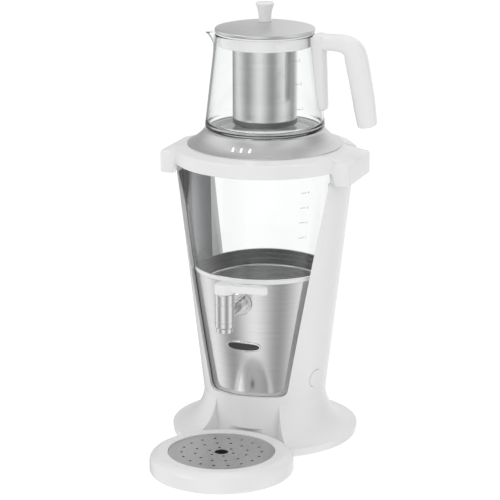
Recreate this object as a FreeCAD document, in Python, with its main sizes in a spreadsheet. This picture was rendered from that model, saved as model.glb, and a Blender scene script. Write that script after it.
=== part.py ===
import FreeCAD, Part
import math
import os

import Sketcher

# A samovar-style electric tea maker: a boiler with a glass upper tank stands on a flared base inside
# a two-pillar frame, a tap fills a cup over a drip tray, and a glass teapot stands on the warming ring.
# The frame stands on the table at Z = 0 with the boiler's axis on Z. The tap points along -Y.
# Lengths are in millimetres and angles in degrees.
SIZES = {
    # base
    "foot_height": 2.6,
    "foot_radius": 9.0,
    "plinth_low": 2.0,
    "plinth_top": 9.0,
    "plinth_radius": 104.0,
    "skirt_radius": 105.0,
    "skirt_rim": 2.0,
    "flare_radius": 44.0,
    "base_wall": 3.0,
    "lip_depth": 3.5,
    "deck_hole_radius": 22.0,
    "bay_half_angle": 33.0,
    "bay_core_radius": 66.0,
    "boss_circle": 57.0,
    "boss_radius": 4.6,
    "screw_radius": 1.5,
    "screw_head_radius": 2.9,
    "screw_head_height": 1.6,
    "frame_screw_head_radius": 1.9,
    "frame_screw_grip": 12.0,
    # frame
    "parting_height": 52.0,
    "frame_foot_radius": 69.0,
    "frame_taper": 0.1153,
    "frame_wall": 5.0,
    "window_sill": 61.0,
    "window_half_width": 45.0,
    "window_flare": 0.18,
    "window_corner": 9.0,
    "frame_top": 317.6,
    "liner_half_angle": 22.0,
    "liner_low": 92.0,
    "liner_high": 305.0,
    "liner_thickness": 1.4,
    "wire_channel": 1.4,
    # collar and its two carrying ears
    "collar_radius": 100.7,
    "collar_side_top": 331.6,
    "collar_wall": 3.0,
    "collar_crown": 336.4,
    "ear_reach": 110.8,
    "ear_half_width": 41.6,
    "ear_low": 303.6,
    "ear_high": 326.5,
    "ear_corner": 9.0,
    # warming ring
    "ring_radius": 86.5,
    "ring_edge": 1.0,
    "ring_top": 353.5,
    "ring_shoulder": 67.0,
    "ring_curve": 52.8,
    "ring_sheet": 1.5,
    "seat_line_radius": 56.0,
    "mouth_radius": 51.9,
    "gasket_depth": 4.0,
    "lamp_pitch": 9.7,
    "lamp_width": 2.8,
    "lamp_tall": 3.8,
    "lamp_height": 344.0,
    "lamp_board_face": 69.0,
    "lamp_board_width": 26.0,
    # tank and boiler
    "running_gap": 0.5,
    "fit_gap": 0.3,
    "glass_wall": 3.0,
    "tank_top": 326.0,
    "tank_low": 200.0,
    "rim_low": 195.0,
    "jacket_gap": 0.6,
    "sheet_wall": 1.0,
    "seal_inner_radius": 62.6,
    "seal_step": 3.2,
    "pot_mouth_radius": 61.9,
    "pot_foot_radius": 57.0,
    "pot_low": 72.0,
    "pot_rim": 187.0,
    "pot_bead": 1.9,
    "heater_radius": 50.0,
    "heater_height": 6.0,
    "element_circle": 38.0,
    "element_radius": 3.2,
    "thermostat_radius": 8.0,
    "thermostat_height": 7.0,
    # tap
    "tap_height": 172.0,
    "tap_reach": 128.6,
    "neck_radius": 7.0,
    "neck_bore": 4.0,
    "flange_radius": 12.5,
    "flange_face": 81.5,
    "barrel_radius": 10.7,
    "barrel_low": 154.0,
    "barrel_top": 197.7,
    "outlet_radius": 5.0,
    "outlet_length": 11.0,
    "plug_radius": 8.0,
    "plug_clearance": 0.05,
    "plug_top": 190.0,
    "stem_radius": 3.5,
    "cap_radius": 11.2,
    "cap_top": 209.0,
    "lever_reach": 49.0,
    "lever_root_width": 14.0,
    "lever_tip_width": 10.0,
    "lever_thickness": 8.0,
    "nut_across_flats": 22.0,
    "nut_thickness": 5.0,
    "washer_thickness": 2.0,
    "washer_radius": 11.0,
    # button
    "button_angle": 72.0,
    "button_height": 76.0,
    "button_radius": 10.0,
    "button_proud": 0.5,
    "button_depth": 1.2,
    "button_travel": 1.2,
    "switch_radius": 3.0,
    # drip tray
    "tray_centre": 140.4,
    "tray_radius": 78.8,
    "tray_height": 22.0,
    "tray_side": 15.0,
    "tray_bevel": 2.5,
    "tray_wall": 2.5,
    "tray_gap": 1.0,
    "plate_radius": 58.5,
    "plate_thickness": 1.2,
    "plate_sink": 1.6,
    "outer_holes_circle": 43.8,
    "outer_holes": 18.0,
    "middle_holes_circle": 28.7,
    "middle_holes": 12.0,
    "inner_holes_circle": 13.7,
    "inner_holes": 6.0,
    "drain_radius": 1.5,
    "finger_radius": 7.5,
    # teapot
    "seat_gap": 0.3,
    "pot_belly_radius": 67.0,
    "pot_heel": 3.2,
    "pot_neck_radius": 54.7,
    "teapot_mouth_height": 460.0,
    "pot_glass_wall": 2.5,
    "pot_floor": 3.0,
    "spout_reach": 70.5,
    "spout_root": 437.0,
    "spout_half_width": 15.0,
    "spout_lip": 455.0,
    # teapot handle
    "strap_low": 378.5,
    "strap_reach": 71.5,
    "strap_width": 25.0,
    "bar_low": 445.0,
    "bar_high": 463.0,
    "grip_width": 20.0,
    "grip_reach": 131.5,
    "grip_low": 362.7,
    "grip_lean": 10.5,
    "elbow_radius": 20.0,
    "handle_round": 6.0,
    # infuser
    "tube_radius": 35.8,
    "tube_wall": 0.8,
    "tube_low": 366.0,
    "infuser_low": 359.0,
    "rim_plug_low": 447.0,
    "rim_plug_wall": 2.0,
    "rim_flange_height": 2.0,
    "mesh_hole_radius": 1.2,
    "mesh_holes": 16.0,
    # lid
    "lid_radius": 55.4,
    "lid_edge": 465.8,
    "lid_top": 473.0,
    "lid_sheet": 1.2,
    "lid_curve": 260.0,
    "lid_seal_width": 3.0,
    "knob_foot_radius": 7.1,
    "knob_head_radius": 10.3,
    "knob_top": 494.2,
    # cord inlet
    "inlet_height": 17.0,
    "inlet_boss_width": 26.0,
    "inlet_boss_depth": 40.0,
    "inlet_face": 105.2,
    "gland_radius": 6.5,
    "cord_hole_radius": 3.9,
    # circuit boards
    "board_height": 20.0,
    "board_thickness": 1.6,
    "board_width": 64.0,
    "board_depth": 44.0,
    "board_place": 22.0,
}

doc = FreeCAD.newDocument("TeaMaker")
sheet = doc.addObject("Spreadsheet::Sheet", "Sizes")
for row, (alias, value) in enumerate(SIZES.items(), start=1):
    sheet.set(f"A{row}", alias)
    sheet.set(f"B{row}", str(value))
    sheet.setAlias(f"B{row}", alias)
doc.recompute()


class Size:
    """A number together with the sheet expression that gives it."""

    def __init__(self, number, text):
        self.number = float(number)
        self.text = text

    def __add__(self, other):
        other = as_size(other)
        return Size(self.number + other.number, f"({self.text} + {other.text})")

    def __sub__(self, other):
        other = as_size(other)
        return Size(self.number - other.number, f"({self.text} - {other.text})")

    def __mul__(self, other):
        other = as_size(other)
        return Size(self.number * other.number, f"({self.text} * {other.text})")

    def __truediv__(self, other):
        other = as_size(other)
        return Size(self.number / other.number, f"({self.text} / {other.text})")

    def __neg__(self):
        return Size(-self.number, f"(-1 * {self.text})")

    def __rsub__(self, other):
        return as_size(other) - self

    __radd__ = __add__
    __rmul__ = __mul__


def as_size(value):
    """A plain number as a Size."""
    return value if isinstance(value, Size) else Size(value, repr(float(value)))


def cosine(angle):
    """Cosine of an angle in degrees."""
    angle = as_size(angle)
    return Size(math.cos(math.radians(angle.number)), f"cos({angle.text})")


def sine(angle):
    """Sine of an angle in degrees."""
    angle = as_size(angle)
    return Size(math.sin(math.radians(angle.number)), f"sin({angle.text})")


class Sheet:
    """Each alias of the sheet, read as a Size."""

    def __getattr__(self, alias):
        return Size(SIZES[alias], f"Sizes.{alias}")


size = Sheet()
ZERO = 0
nodes = []


def bind(thing, path, value):
    """Tie one property to the sheet."""
    thing.setExpression(path, as_size(value).text)


def node(thing, label):
    """Keep a finished piece under its own label."""
    thing.Label = label
    nodes.append(thing)
    return thing


def place(thing, across=ZERO, depth=ZERO, height=ZERO, turn=ZERO):
    """Move a piece to a point and turn it about the vertical."""
    turn = as_size(turn)
    spin = FreeCAD.Rotation(FreeCAD.Vector(0, 0, 1), turn.number)
    thing.Placement = FreeCAD.Placement(FreeCAD.Vector(0, 0, 0), spin)
    for path, value in (("x", across), ("y", depth), ("z", height)):
        bind(thing, f"Placement.Base.{path}", value)
    if turn.number:
        bind(thing, "Placement.Rotation.Angle", turn)
    return thing


def pin_point(sketch, geometry, point, corner, name):
    """Hold one end of an edge at a corner measured from the sketch's origin."""
    for kind, axis, value, tag in (("DistanceX", -2, corner[0], "a"), ("DistanceY", -1, corner[1], "b")):
        value = as_size(value)
        if value.text == "0.0":
            sketch.addConstraint(Sketcher.Constraint("PointOnObject", geometry, point, axis))
            continue
        index = sketch.addConstraint(Sketcher.Constraint(kind, -1, 1, geometry, point, value.number))
        sketch.renameConstraint(index, name + tag)
        bind(sketch, "Constraints." + name + tag, value)


def arc_between(start, end, radius):
    """Arc from start to end; a positive radius turns left, a negative one right. Says if it is reversed."""
    chord = end - start
    middle = (start + end) / 2
    rise = math.sqrt(max(radius ** 2 - (chord.Length / 2) ** 2, 0.0))
    left = FreeCAD.Vector(-chord.y, chord.x, 0).normalize()
    centre = middle + left * (rise if radius > 0 else -rise)
    first = math.atan2(start.y - centre.y, start.x - centre.x)
    last = math.atan2(end.y - centre.y, end.x - centre.x)
    circle = Part.Circle(centre, FreeCAD.Vector(0, 0, 1), abs(radius))
    if radius > 0:
        return Part.ArcOfCircle(circle, first, last), False
    return Part.ArcOfCircle(circle, last, first), True


def draw(sketch, corners, tag="p", closed=True):
    """Draw a closed outline, or an open path. A corner is (across, up) or, where an arc leads on from it,
    (across, up, radius), with a positive radius for an arc that turns left."""
    spots = [FreeCAD.Vector(as_size(c[0]).number, as_size(c[1]).number, 0) for c in corners]
    ends = []
    edges = corners if closed else corners[:-1]
    for i, corner in enumerate(edges):
        start, end = spots[i], spots[(i + 1) % len(spots)]
        if len(corner) == 3:
            radius = as_size(corner[2])
            arc, reverse = arc_between(start, end, radius.number)
            edge = sketch.addGeometry(arc, False)
            index = sketch.addConstraint(Sketcher.Constraint("Radius", edge, abs(radius.number)))
            name = f"{tag}{i}r"
            sketch.renameConstraint(index, name)
            bind(sketch, "Constraints." + name, radius if radius.number > 0 else -radius)
            ends.append((edge, 2, 1) if reverse else (edge, 1, 2))
        else:
            edge = sketch.addGeometry(Part.LineSegment(start, end), False)
            ends.append((edge, 1, 2))
    for i, corner in enumerate(edges):
        edge, first, last = ends[i]
        pin_point(sketch, edge, first, corner, f"{tag}{i}")
        if closed or i + 1 < len(ends):
            following, head, _ = ends[(i + 1) % len(ends)]
            sketch.addConstraint(Sketcher.Constraint("Coincident", edge, last, following, head))
        else:
            pin_point(sketch, edge, last, corners[-1], f"{tag}end")


def draw_circle(sketch, across, up, radius, tag="c"):
    """Draw a circle with its centre measured from the sketch's origin."""
    across, up, radius = as_size(across), as_size(up), as_size(radius)
    centre = FreeCAD.Vector(across.number, up.number, 0)
    circle = Part.Circle(centre, FreeCAD.Vector(0, 0, 1), radius.number)
    edge = sketch.addGeometry(circle, False)
    pin_point(sketch, edge, 3, (across, up), tag)
    index = sketch.addConstraint(Sketcher.Constraint("Radius", edge, radius.number))
    sketch.renameConstraint(index, tag + "r")
    bind(sketch, "Constraints." + tag + "r", radius)


def new_sketch(body, plane, offset=ZERO):
    """A sketch on one of the body's own planes, moved along the plane's normal."""
    sketch = body.newObject("Sketcher::SketchObject", body.Name + "Sketch")
    origin_plane = [f for f in body.Origin.OriginFeatures if f.Role == plane][0]
    sketch.AttachmentSupport = [(origin_plane, "")]
    sketch.MapMode = "FlatFace"
    if as_size(offset).number:
        bind(sketch, "AttachmentOffset.Base.z", offset)
    return sketch


def turned(name, *outlines):
    """A body turned round its own Z axis from outlines given as (radius, height) corners."""
    body = doc.addObject("PartDesign::Body", name)
    sketch = new_sketch(body, "XZ_Plane")
    for i, corners in enumerate(outlines):
        draw(sketch, corners, f"o{i}p")
    turn = body.newObject("PartDesign::Revolution", name + "Turn")
    turn.Profile = sketch
    turn.ReferenceAxis = (sketch, ["V_Axis"])
    turn.Angle = 360
    sketch.Visibility = False
    return body


def block(name, low, high, corners=None, circles=()):
    """A body padded upwards from an outline or circles drawn in plan."""
    body = doc.addObject("PartDesign::Body", name)
    sketch = new_sketch(body, "XY_Plane", low)
    if corners:
        draw(sketch, corners)
    for i, (across, depth, radius) in enumerate(circles):
        draw_circle(sketch, across, depth, radius, f"c{i}")
    pad = body.newObject("PartDesign::Pad", name + "Pad")
    pad.Profile = sketch
    bind(pad, "Length", as_size(high) - low)
    return body


def side_block(name, width, corners):
    """A body padded both ways from the XZ plane, from an outline in side view."""
    body = doc.addObject("PartDesign::Body", name)
    sketch = new_sketch(body, "XZ_Plane")
    draw(sketch, corners)
    pad = body.newObject("PartDesign::Pad", name + "Pad")
    pad.Profile = sketch
    pad.Midplane = True
    bind(pad, "Length", width)
    return body


def rod(name, radius, length, across=ZERO, depth=ZERO, height=ZERO, axis=(0, 0, 1)):
    """A cylinder from a point along an axis."""
    piece = doc.addObject("Part::Cylinder", name)
    bind(piece, "Radius", radius)
    bind(piece, "Height", length)
    spin = FreeCAD.Rotation(FreeCAD.Vector(0, 0, 1), FreeCAD.Vector(*axis))
    piece.Placement = FreeCAD.Placement(FreeCAD.Vector(0, 0, 0), spin)
    for path, value in (("x", across), ("y", depth), ("z", height)):
        bind(piece, f"Placement.Base.{path}", value)
    return piece


def box(name, width, depth, tall, across=ZERO, back=ZERO, height=ZERO):
    """A box centred across and given by its front face and its underside."""
    piece = doc.addObject("Part::Box", name)
    bind(piece, "Length", width)
    bind(piece, "Width", depth)
    bind(piece, "Height", tall)
    bind(piece, "Placement.Base.x", as_size(across) - as_size(width) / 2)
    bind(piece, "Placement.Base.y", back)
    bind(piece, "Placement.Base.z", height)
    return piece


def cut(name, base, *tools):
    """The base with each tool taken away."""
    piece = base
    for i, tool in enumerate(tools):
        result = doc.addObject("Part::Cut", f"{name}Cut{i}")
        result.Base = piece
        result.Tool = tool
        piece = result
    return piece


def join(name, *pieces):
    """Several pieces as one; solids that don't touch stay separate in it."""
    result = doc.addObject("Part::MultiFuse", name)
    result.Shapes = list(pieces)
    return result


def overlap(name, first, second):
    """What two pieces share."""
    result = doc.addObject("Part::MultiCommon", name)
    result.Shapes = [first, second]
    return result


def group(name, *pieces):
    """Like pieces kept together in one node as separate solids."""
    result = doc.addObject("Part::Compound", name)
    result.Links = list(pieces)
    return result


def rounded(name, base, radius, wanted):
    """Round the edges of a piece that the test picks out by their end points."""
    doc.recompute()
    result = doc.addObject("Part::Fillet", name)
    result.Base = base
    number = as_size(radius).number
    picks = [i for i, edge in enumerate(base.Shape.Edges, start=1) if wanted(edge)]
    result.Edges = [(i, number, number) for i in picks]
    return result


def frame_radius(height):
    """Outer radius of the frame's cone at a height."""
    return size.frame_foot_radius + size.frame_taper * (as_size(height) - size.parting_height)


def cone_wall(name, low, high, inner_offset, outer_offset):
    """A conical wall that lies between two offsets inward from the frame's outer face."""
    return turned(name, [
        (frame_radius(low) - inner_offset, low),
        (frame_radius(low) - outer_offset, low),
        (frame_radius(high) - outer_offset, high),
        (frame_radius(high) - inner_offset, high),
    ])


def wedge(name, half_angle, low, high, apex=ZERO):
    """A wedge in plan with its point near the axis, opening along -Y."""
    reach = 300.0
    side = reach * sine(half_angle)
    ahead = -reach * cosine(half_angle)
    return block(name, low, high, [(0, apex), (-side, ahead), (side, ahead)])


def ring_of(count_name, circle, start=0.0):
    """Positions of evenly spaced copies on a circle."""
    count = int(SIZES[count_name])
    return [(circle * cosine(start + 360.0 * k / count), circle * sine(start + 360.0 * k / count))
            for k in range(count)]


# Base: a flared skirt with a recess for the drip tray, closed below by a plinth cover
deck_under = size.parting_height - size.base_wall
lip_low = size.plinth_top - size.lip_depth
flare_start = size.plinth_top + size.skirt_rim
lip_radius = size.plinth_radius - size.base_wall + size.fit_gap
cover_top = size.plinth_low + size.base_wall - 0.5

skirt_solid = turned("SkirtSolid", [
    (0, cover_top),
    (lip_radius - 2 * size.fit_gap, cover_top),
    (lip_radius - 2 * size.fit_gap, size.plinth_top),
    (size.skirt_radius, size.plinth_top),
    (size.skirt_radius, flare_start, -size.flare_radius),
    (size.frame_foot_radius, size.parting_height),
    (0, size.parting_height),
])
inner_flare = size.flare_radius + size.base_wall
skirt_void = turned("SkirtVoid", [
    (0, cover_top - 1),
    (lip_radius - size.base_wall, cover_top - 1),
    (lip_radius - size.base_wall, size.plinth_top + 1, -inner_flare),
    (size.frame_foot_radius - size.base_wall, deck_under),
    (0, deck_under),
])


def bay(name, growth):
    """The tray's recess: a wedge in front of a conical core, and the round pocket that the tray slides
    into. Growth moves every wall outwards, to leave a wall round it."""
    growth = as_size(growth)
    opening = wedge(name + "Wedge", size.bay_half_angle, 0, size.parting_height, apex=2 * growth)
    core = turned(name + "Core", [
        (0, -1),
        (size.bay_core_radius - growth, -1),
        (size.bay_core_radius - growth, size.tray_height),
        (size.frame_foot_radius - growth, size.parting_height),
        (0, size.parting_height),
    ])
    pocket = rod(name + "Pocket", size.tray_radius + size.tray_gap + growth,
                 size.tray_height + size.tray_gap + growth + 1, depth=-size.tray_centre, height=-1)
    return join(name, cut(name + "Front", opening, core), pocket)


bay_cut = bay("Bay", 0)
bay_wall = bay("BayWall", size.base_wall)
boss_angles = [20.0, 160.0, 215.0, 325.0]
bosses = join("Bosses", *[
    rod(f"Boss{k}", size.boss_radius, deck_under - cover_top + 1, size.boss_circle * cosine(angle),
        size.boss_circle * sine(angle), cover_top)
    for k, angle in enumerate(boss_angles)
])
boss_holes = join("BossHoles", *[
    rod(f"BossHole{k}", size.screw_radius, 18.0, size.boss_circle * cosine(angle),
        size.boss_circle * sine(angle), cover_top - 1)
    for k, angle in enumerate(boss_angles)
])
inlet_top = size.inlet_height + size.inlet_boss_width / 2
inlet_boss_back = size.inlet_face - size.inlet_boss_depth
inlet_boss = box("InletBoss", size.inlet_boss_width, size.inlet_boss_depth, inlet_top - cover_top,
                 back=inlet_boss_back, height=cover_top)
inlet_hole = rod("InletHole", size.gland_radius, size.inlet_boss_depth + 1, depth=inlet_boss_back,
                 height=size.inlet_height, axis=(0, 1, 0))
frame_screw_circle = size.frame_foot_radius - size.frame_wall / 2
frame_screw_angles = [-15.0, 15.0, 165.0, 195.0]
deck_holes = join("DeckHoles", rod("DeckHole", size.deck_hole_radius, 20.0, height=deck_under - 5), *[
    piece for k, angle in enumerate(frame_screw_angles) for piece in (
        rod(f"DeckHole{k}", size.screw_radius, size.base_wall + 2, frame_screw_circle * cosine(angle),
            frame_screw_circle * sine(angle), deck_under - 1),
        rod(f"DeckSeat{k}", size.frame_screw_head_radius + size.fit_gap, 10.0,
            frame_screw_circle * cosine(angle), frame_screw_circle * sine(angle), deck_under - 10))
])
hollow = cut("Hollow", skirt_void, bay_wall, bosses)
inlet_void = box("InletVoid", size.inlet_boss_width - 2 * size.base_wall,
                 size.inlet_boss_depth - 2 * size.base_wall, inlet_top - size.base_wall - cover_top + 1,
                 back=inlet_boss_back + size.base_wall, height=cover_top - 1)
shell = join("SkirtShell", skirt_solid, inlet_boss)
node(cut("BaseHousing", shell, hollow, inlet_void, bay_cut, boss_holes, deck_holes, inlet_hole),
     "base_housing")

board_post_spots = [(side * (size.board_width / 2 - 5), size.board_place + along)
                    for side in (-1, 1) for along in (as_size(6), size.board_depth - 6)]
cover_disc = turned("CoverDisc", [
    (0, size.plinth_low),
    (size.plinth_radius - 1.5, size.plinth_low),
    (size.plinth_radius, size.plinth_low + 1.5),
    (size.plinth_radius, size.plinth_top),
    (lip_radius, size.plinth_top),
    (lip_radius, cover_top),
    (0, cover_top),
])
cover_posts = join("CoverPosts", cover_disc, *[
    rod(f"BoardPost{k}", 3.0, size.board_height - cover_top + 0.5, x, y, cover_top - 0.5)
    for k, (x, y) in enumerate(board_post_spots)
])
head_seat = size.plinth_low + size.screw_head_height
cover_holes = join("CoverHoles", *[
    piece for k, angle in enumerate(boss_angles) for piece in (
        rod(f"CoverHole{k}", size.screw_radius, 8.0, size.boss_circle * cosine(angle),
            size.boss_circle * sine(angle), size.plinth_low - 1),
        rod(f"CoverSeat{k}", size.screw_head_radius + size.fit_gap, size.screw_head_height + 1,
            size.boss_circle * cosine(angle), size.boss_circle * sine(angle), size.plinth_low - 1))
])
foot_spots = [(66.0, -40.0), (-66.0, -40.0), (58.0, 56.0), (-58.0, 56.0)]
foot_seats = join("FootSeats", *[
    rod(f"FootSeat{k}", size.foot_radius, size.foot_height + 1, x, y, -1)
    for k, (x, y) in enumerate(foot_spots)
])
inlet_notch = box("InletNotch", size.inlet_boss_width + 2 * size.fit_gap, size.inlet_boss_depth,
                  size.plinth_top, back=lip_radius - size.base_wall, height=cover_top)
node(cut("BottomCover", cover_posts, cover_holes, foot_seats, bay_cut, inlet_notch), "base_bottom_cover")
node(group("RubberFeet", *[
    turned(f"Foot{k}", [(0, 0), (size.foot_radius - 1.2, 0), (size.foot_radius, 1.2),
                        (size.foot_radius, size.foot_height), (0, size.foot_height)])
    for k in range(len(foot_spots))
]), "rubber_feet")
for foot, (x, y) in zip(nodes[-1].Links, foot_spots):
    place(foot, x, y)
node(group("CoverScrews", *[
    place(turned(f"CoverScrew{k}", [
        (0, size.plinth_low),
        (size.screw_head_radius, size.plinth_low),
        (size.screw_head_radius, head_seat),
        (size.screw_radius, head_seat),
        (size.screw_radius, cover_top + 14.0),
        (0, cover_top + 15.0),
    ]), size.boss_circle * cosine(angle), size.boss_circle * sine(angle))
    for k, angle in enumerate(boss_angles)
]), "cover_screws")
node(group("FrameScrews", *[
    place(turned(f"FrameScrew{k}", [
        (0, deck_under - size.screw_head_height),
        (size.frame_screw_head_radius, deck_under - size.screw_head_height),
        (size.frame_screw_head_radius, deck_under),
        (size.screw_radius, deck_under),
        (size.screw_radius, size.parting_height + size.frame_screw_grip),
        (0, size.parting_height + size.frame_screw_grip + 1),
    ]), frame_screw_circle * cosine(angle), frame_screw_circle * sine(angle))
    for k, angle in enumerate(frame_screw_angles)
]), "frame_screws")
inlet_wall = size.base_wall
node(cut("CordGland", join("GlandBody",
     rod("GlandSleeve", size.gland_radius, inlet_wall + 3, depth=size.inlet_face - inlet_wall - 1.5,
         height=size.inlet_height, axis=(0, 1, 0)),
     rod("GlandLip", size.gland_radius + 1.6, 1.5, depth=size.inlet_face,
         height=size.inlet_height, axis=(0, 1, 0))),
     rod("CordHole", size.cord_hole_radius, 30.0, depth=size.inlet_face - 15.0,
         height=size.inlet_height, axis=(0, 1, 0))), "cord_gland")

board_plate = box("BoardPlate", size.board_width, size.board_depth, size.board_thickness,
                  back=size.board_place, height=size.board_height)
board_face = size.board_height + size.board_thickness
board_pieces = [
    box("Relay", 15.0, 19.0, 14.0, across=-20.0, back=size.board_place + 6, height=board_face),
    box("Transformer", 18.0, 16.0, 13.0, across=6.0, back=size.board_place + 20, height=board_face),
    rod("Capacitor", 5.0, 16.0, -4.0, size.board_place + 10, board_face),
    box("Terminals", 12.0, 8.0, 10.0, across=23.0, back=size.board_place + 8, height=board_face),
]
node(join("ControlBoard", board_plate, *board_pieces), "control_board")

# Frame: one conical moulding, a ring below and two wide pillars with windows between them
frame_cone = cone_wall("FrameCone", size.parting_height, size.frame_top, size.frame_wall, 0)

window_top = size.frame_top + 1
window_top_width = size.window_half_width + size.window_flare * (window_top - size.window_sill)
window_block = side_block("WindowBlock", 260.0, [
    (-size.window_half_width, size.window_sill),
    (size.window_half_width, size.window_sill),
    (window_top_width, window_top),
    (-window_top_width, window_top),
])
windows = rounded("Windows", window_block, size.window_corner, lambda edge: (
    abs(edge.CenterOfMass.z - SIZES["window_sill"]) < 0.01 and abs(edge.CenterOfMass.y) < 0.01
    and edge.BoundBox.XLength < 0.01))

button_across = sine(size.button_angle)
button_ahead = -cosine(size.button_angle)
button_axis = (button_across.number, button_ahead.number, 0)


def button_rod(name, radius, start, length):
    """A cylinder on the button's axis, from a distance off the boiler's axis."""
    return rod(name, radius, length, start * button_across, start * button_ahead,
               size.button_height, axis=button_axis)


def pillar_slot(name, side, inner_offset, outer_offset, half_angle):
    """A shallow conical panel behind a pillar's inner face."""
    wall = cone_wall(name + "Wall", size.liner_low, size.liner_high, inner_offset, outer_offset)
    reach = 160.0
    sector = block(name + "Sector", size.liner_low - 1, size.liner_high + 1, [
        (0, 0),
        (side * reach * cosine(half_angle), -side * reach * sine(half_angle)),
        (side * reach * cosine(half_angle), side * reach * sine(half_angle)),
    ])
    return overlap(name, wall, sector)


frame_inside = size.frame_wall
liner_back = size.frame_wall - size.liner_thickness
channel_back = liner_back - size.wire_channel
button_hole = button_rod("ButtonHole", size.button_radius + size.fit_gap, 40.0, 60.0)
channels = [
    pillar_slot(f"Channel{side}", side, frame_inside + 1, channel_back, size.liner_half_angle)
    for side in (-1, 1)
]
frame_screw_holes = join("FrameScrewHoles", *[
    rod(f"FrameScrewHole{k}", size.screw_radius, size.frame_screw_grip + 3,
        frame_screw_circle * cosine(angle), frame_screw_circle * sine(angle), size.parting_height - 1)
    for k, angle in enumerate(frame_screw_angles)
])
node(cut("SupportFrame", frame_cone, windows, *channels,
         button_hole, frame_screw_holes), "support_frame")
for side, label in ((-1, "left"), (1, "right")):
    node(pillar_slot(f"Liner{label}", side, frame_inside, liner_back, size.liner_half_angle),
         f"pillar_liner_{label}")

# Collar: a ring that caps the pillars, with a hollow carrying ear on each side
collar_ring = turned("CollarRing", [
    (size.collar_radius, size.frame_top),
    (size.collar_radius, size.collar_side_top),
    (size.collar_radius - 1.6, size.collar_side_top + 1.6),
    (size.ring_radius, size.collar_crown),
    (size.ring_radius - 4, size.collar_crown),
    (size.ring_radius - 4, size.collar_crown - size.collar_wall),
    (size.collar_radius - size.collar_wall, size.collar_side_top - size.collar_wall + 1.4),
    (size.collar_radius - size.collar_wall, size.frame_top),
])


def ear(name, inset, low, high):
    """Both ears as one rounded block across the machine."""
    reach = size.ear_reach - inset
    side = size.ear_half_width - inset
    corner = size.ear_corner - inset
    plan = [
        (reach - corner, -side, corner), (reach, corner - side),
        (reach, side - corner, corner), (reach - corner, side),
        (corner - reach, side, corner), (-reach, side - corner),
        (-reach, corner - side, corner), (corner - reach, -side),
    ]
    return block(name, low, high, plan)


clear_cone = turned("ClearCone", [
    (0, size.ear_low - 1),
    (frame_radius(size.ear_low - 1) + size.fit_gap / 3, size.ear_low - 1),
    (frame_radius(size.frame_top) + size.fit_gap / 3, size.frame_top),
    (size.collar_radius - size.collar_wall, size.frame_top),
    (size.collar_radius - size.collar_wall, size.collar_side_top + 2),
    (0, size.collar_side_top + 2),
])
keep_ring = turned("KeepRing", [
    (0, size.ear_low - 2),
    (size.collar_radius, size.ear_low - 2),
    (size.collar_radius, size.ear_high + 1),
    (0, size.ear_high + 1),
])
roof = turned("EarRoof", [
    (0, size.ear_low - 1),
    (size.ear_reach + 4, size.ear_low - 1),
    (size.ear_reach + 4, size.ear_high),
    (size.collar_radius - 1.6, size.collar_side_top + 1.6),
    (0, size.collar_side_top + 1.6),
])
ears = overlap("EarsRoofed", ear("Ears", 0, size.ear_low, size.collar_side_top + 1.6), roof)
ear_hollow = cut("EarHollow", ear("EarInside", size.collar_wall, size.ear_low - 1,
                                  size.ear_high - size.collar_wall), keep_ring)
node(join("TopCollar", cut("EarShell", ears, clear_cone, ear_hollow), collar_ring), "top_collar")

# Warming ring: a concave metal cone on the collar, whose flat top carries the teapot
ring_low = size.collar_crown
under = size.ring_sheet


def ring_body(name, depth):
    """The warming ring's outer face with the given depth of metal behind it."""
    return turned(name, [
        (size.ring_radius, ring_low),
        (size.ring_radius, ring_low + size.ring_edge, -size.ring_curve),
        (size.ring_shoulder, size.ring_top),
        (size.seat_line_radius, size.ring_top),
        (size.seat_line_radius, size.ring_top - depth),
        (size.ring_shoulder - depth / 2, size.ring_top - depth, size.ring_curve + depth),
        (size.ring_radius - depth * 2, ring_low),
    ])


def lamp_slots(name, clearance):
    """Three upright slots through the front of the warming ring."""
    slots = []
    for k in (-1, 0, 1):
        slots.append(box(f"{name}{k}", size.lamp_width + 2 * clearance, 30.0, size.lamp_tall + 2 * clearance,
                         across=k * size.lamp_pitch, back=-size.ring_radius - 5,
                         height=size.lamp_height - size.lamp_tall / 2 - clearance))
    return join(name, *slots)


node(cut("WarmingRing", ring_body("RingSheet", under), lamp_slots("LampSlot", ZERO * size.fit_gap)),
     "warming_ring")
board_block = box("LampLimit", size.lamp_board_width, 40.0, 40.0,
                  back=-size.lamp_board_face - 40, height=ring_low)
lens_stock = overlap("LensStock", turned("LensSolid", [
    (size.ring_radius, ring_low),
    (size.ring_radius, ring_low + size.ring_edge, -size.ring_curve),
    (size.ring_shoulder, size.ring_top),
    (50, size.ring_top),
    (50, ring_low),
]), board_block)
node(overlap("LampLenses", lens_stock, lamp_slots("LensSlot", ZERO * size.fit_gap)), "lamp_lenses")
node(box("LampBoard", size.lamp_board_width, size.board_thickness, size.lamp_tall + 3,
         back=-size.lamp_board_face, height=size.lamp_height - size.lamp_tall / 2 - 2.5), "lamp_board")
seal_top = size.ring_top - size.fit_gap
node(turned("SteamGasket", [
    (size.mouth_radius, size.ring_top - size.gasket_depth),
    (size.seat_line_radius + 3, size.ring_top - size.gasket_depth),
    (size.seat_line_radius + 3, size.ring_top - size.ring_sheet),
    (size.seat_line_radius, size.ring_top - size.ring_sheet),
    (size.seat_line_radius, seal_top),
    (size.mouth_radius, seal_top),
]), "steam_gasket")

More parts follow.
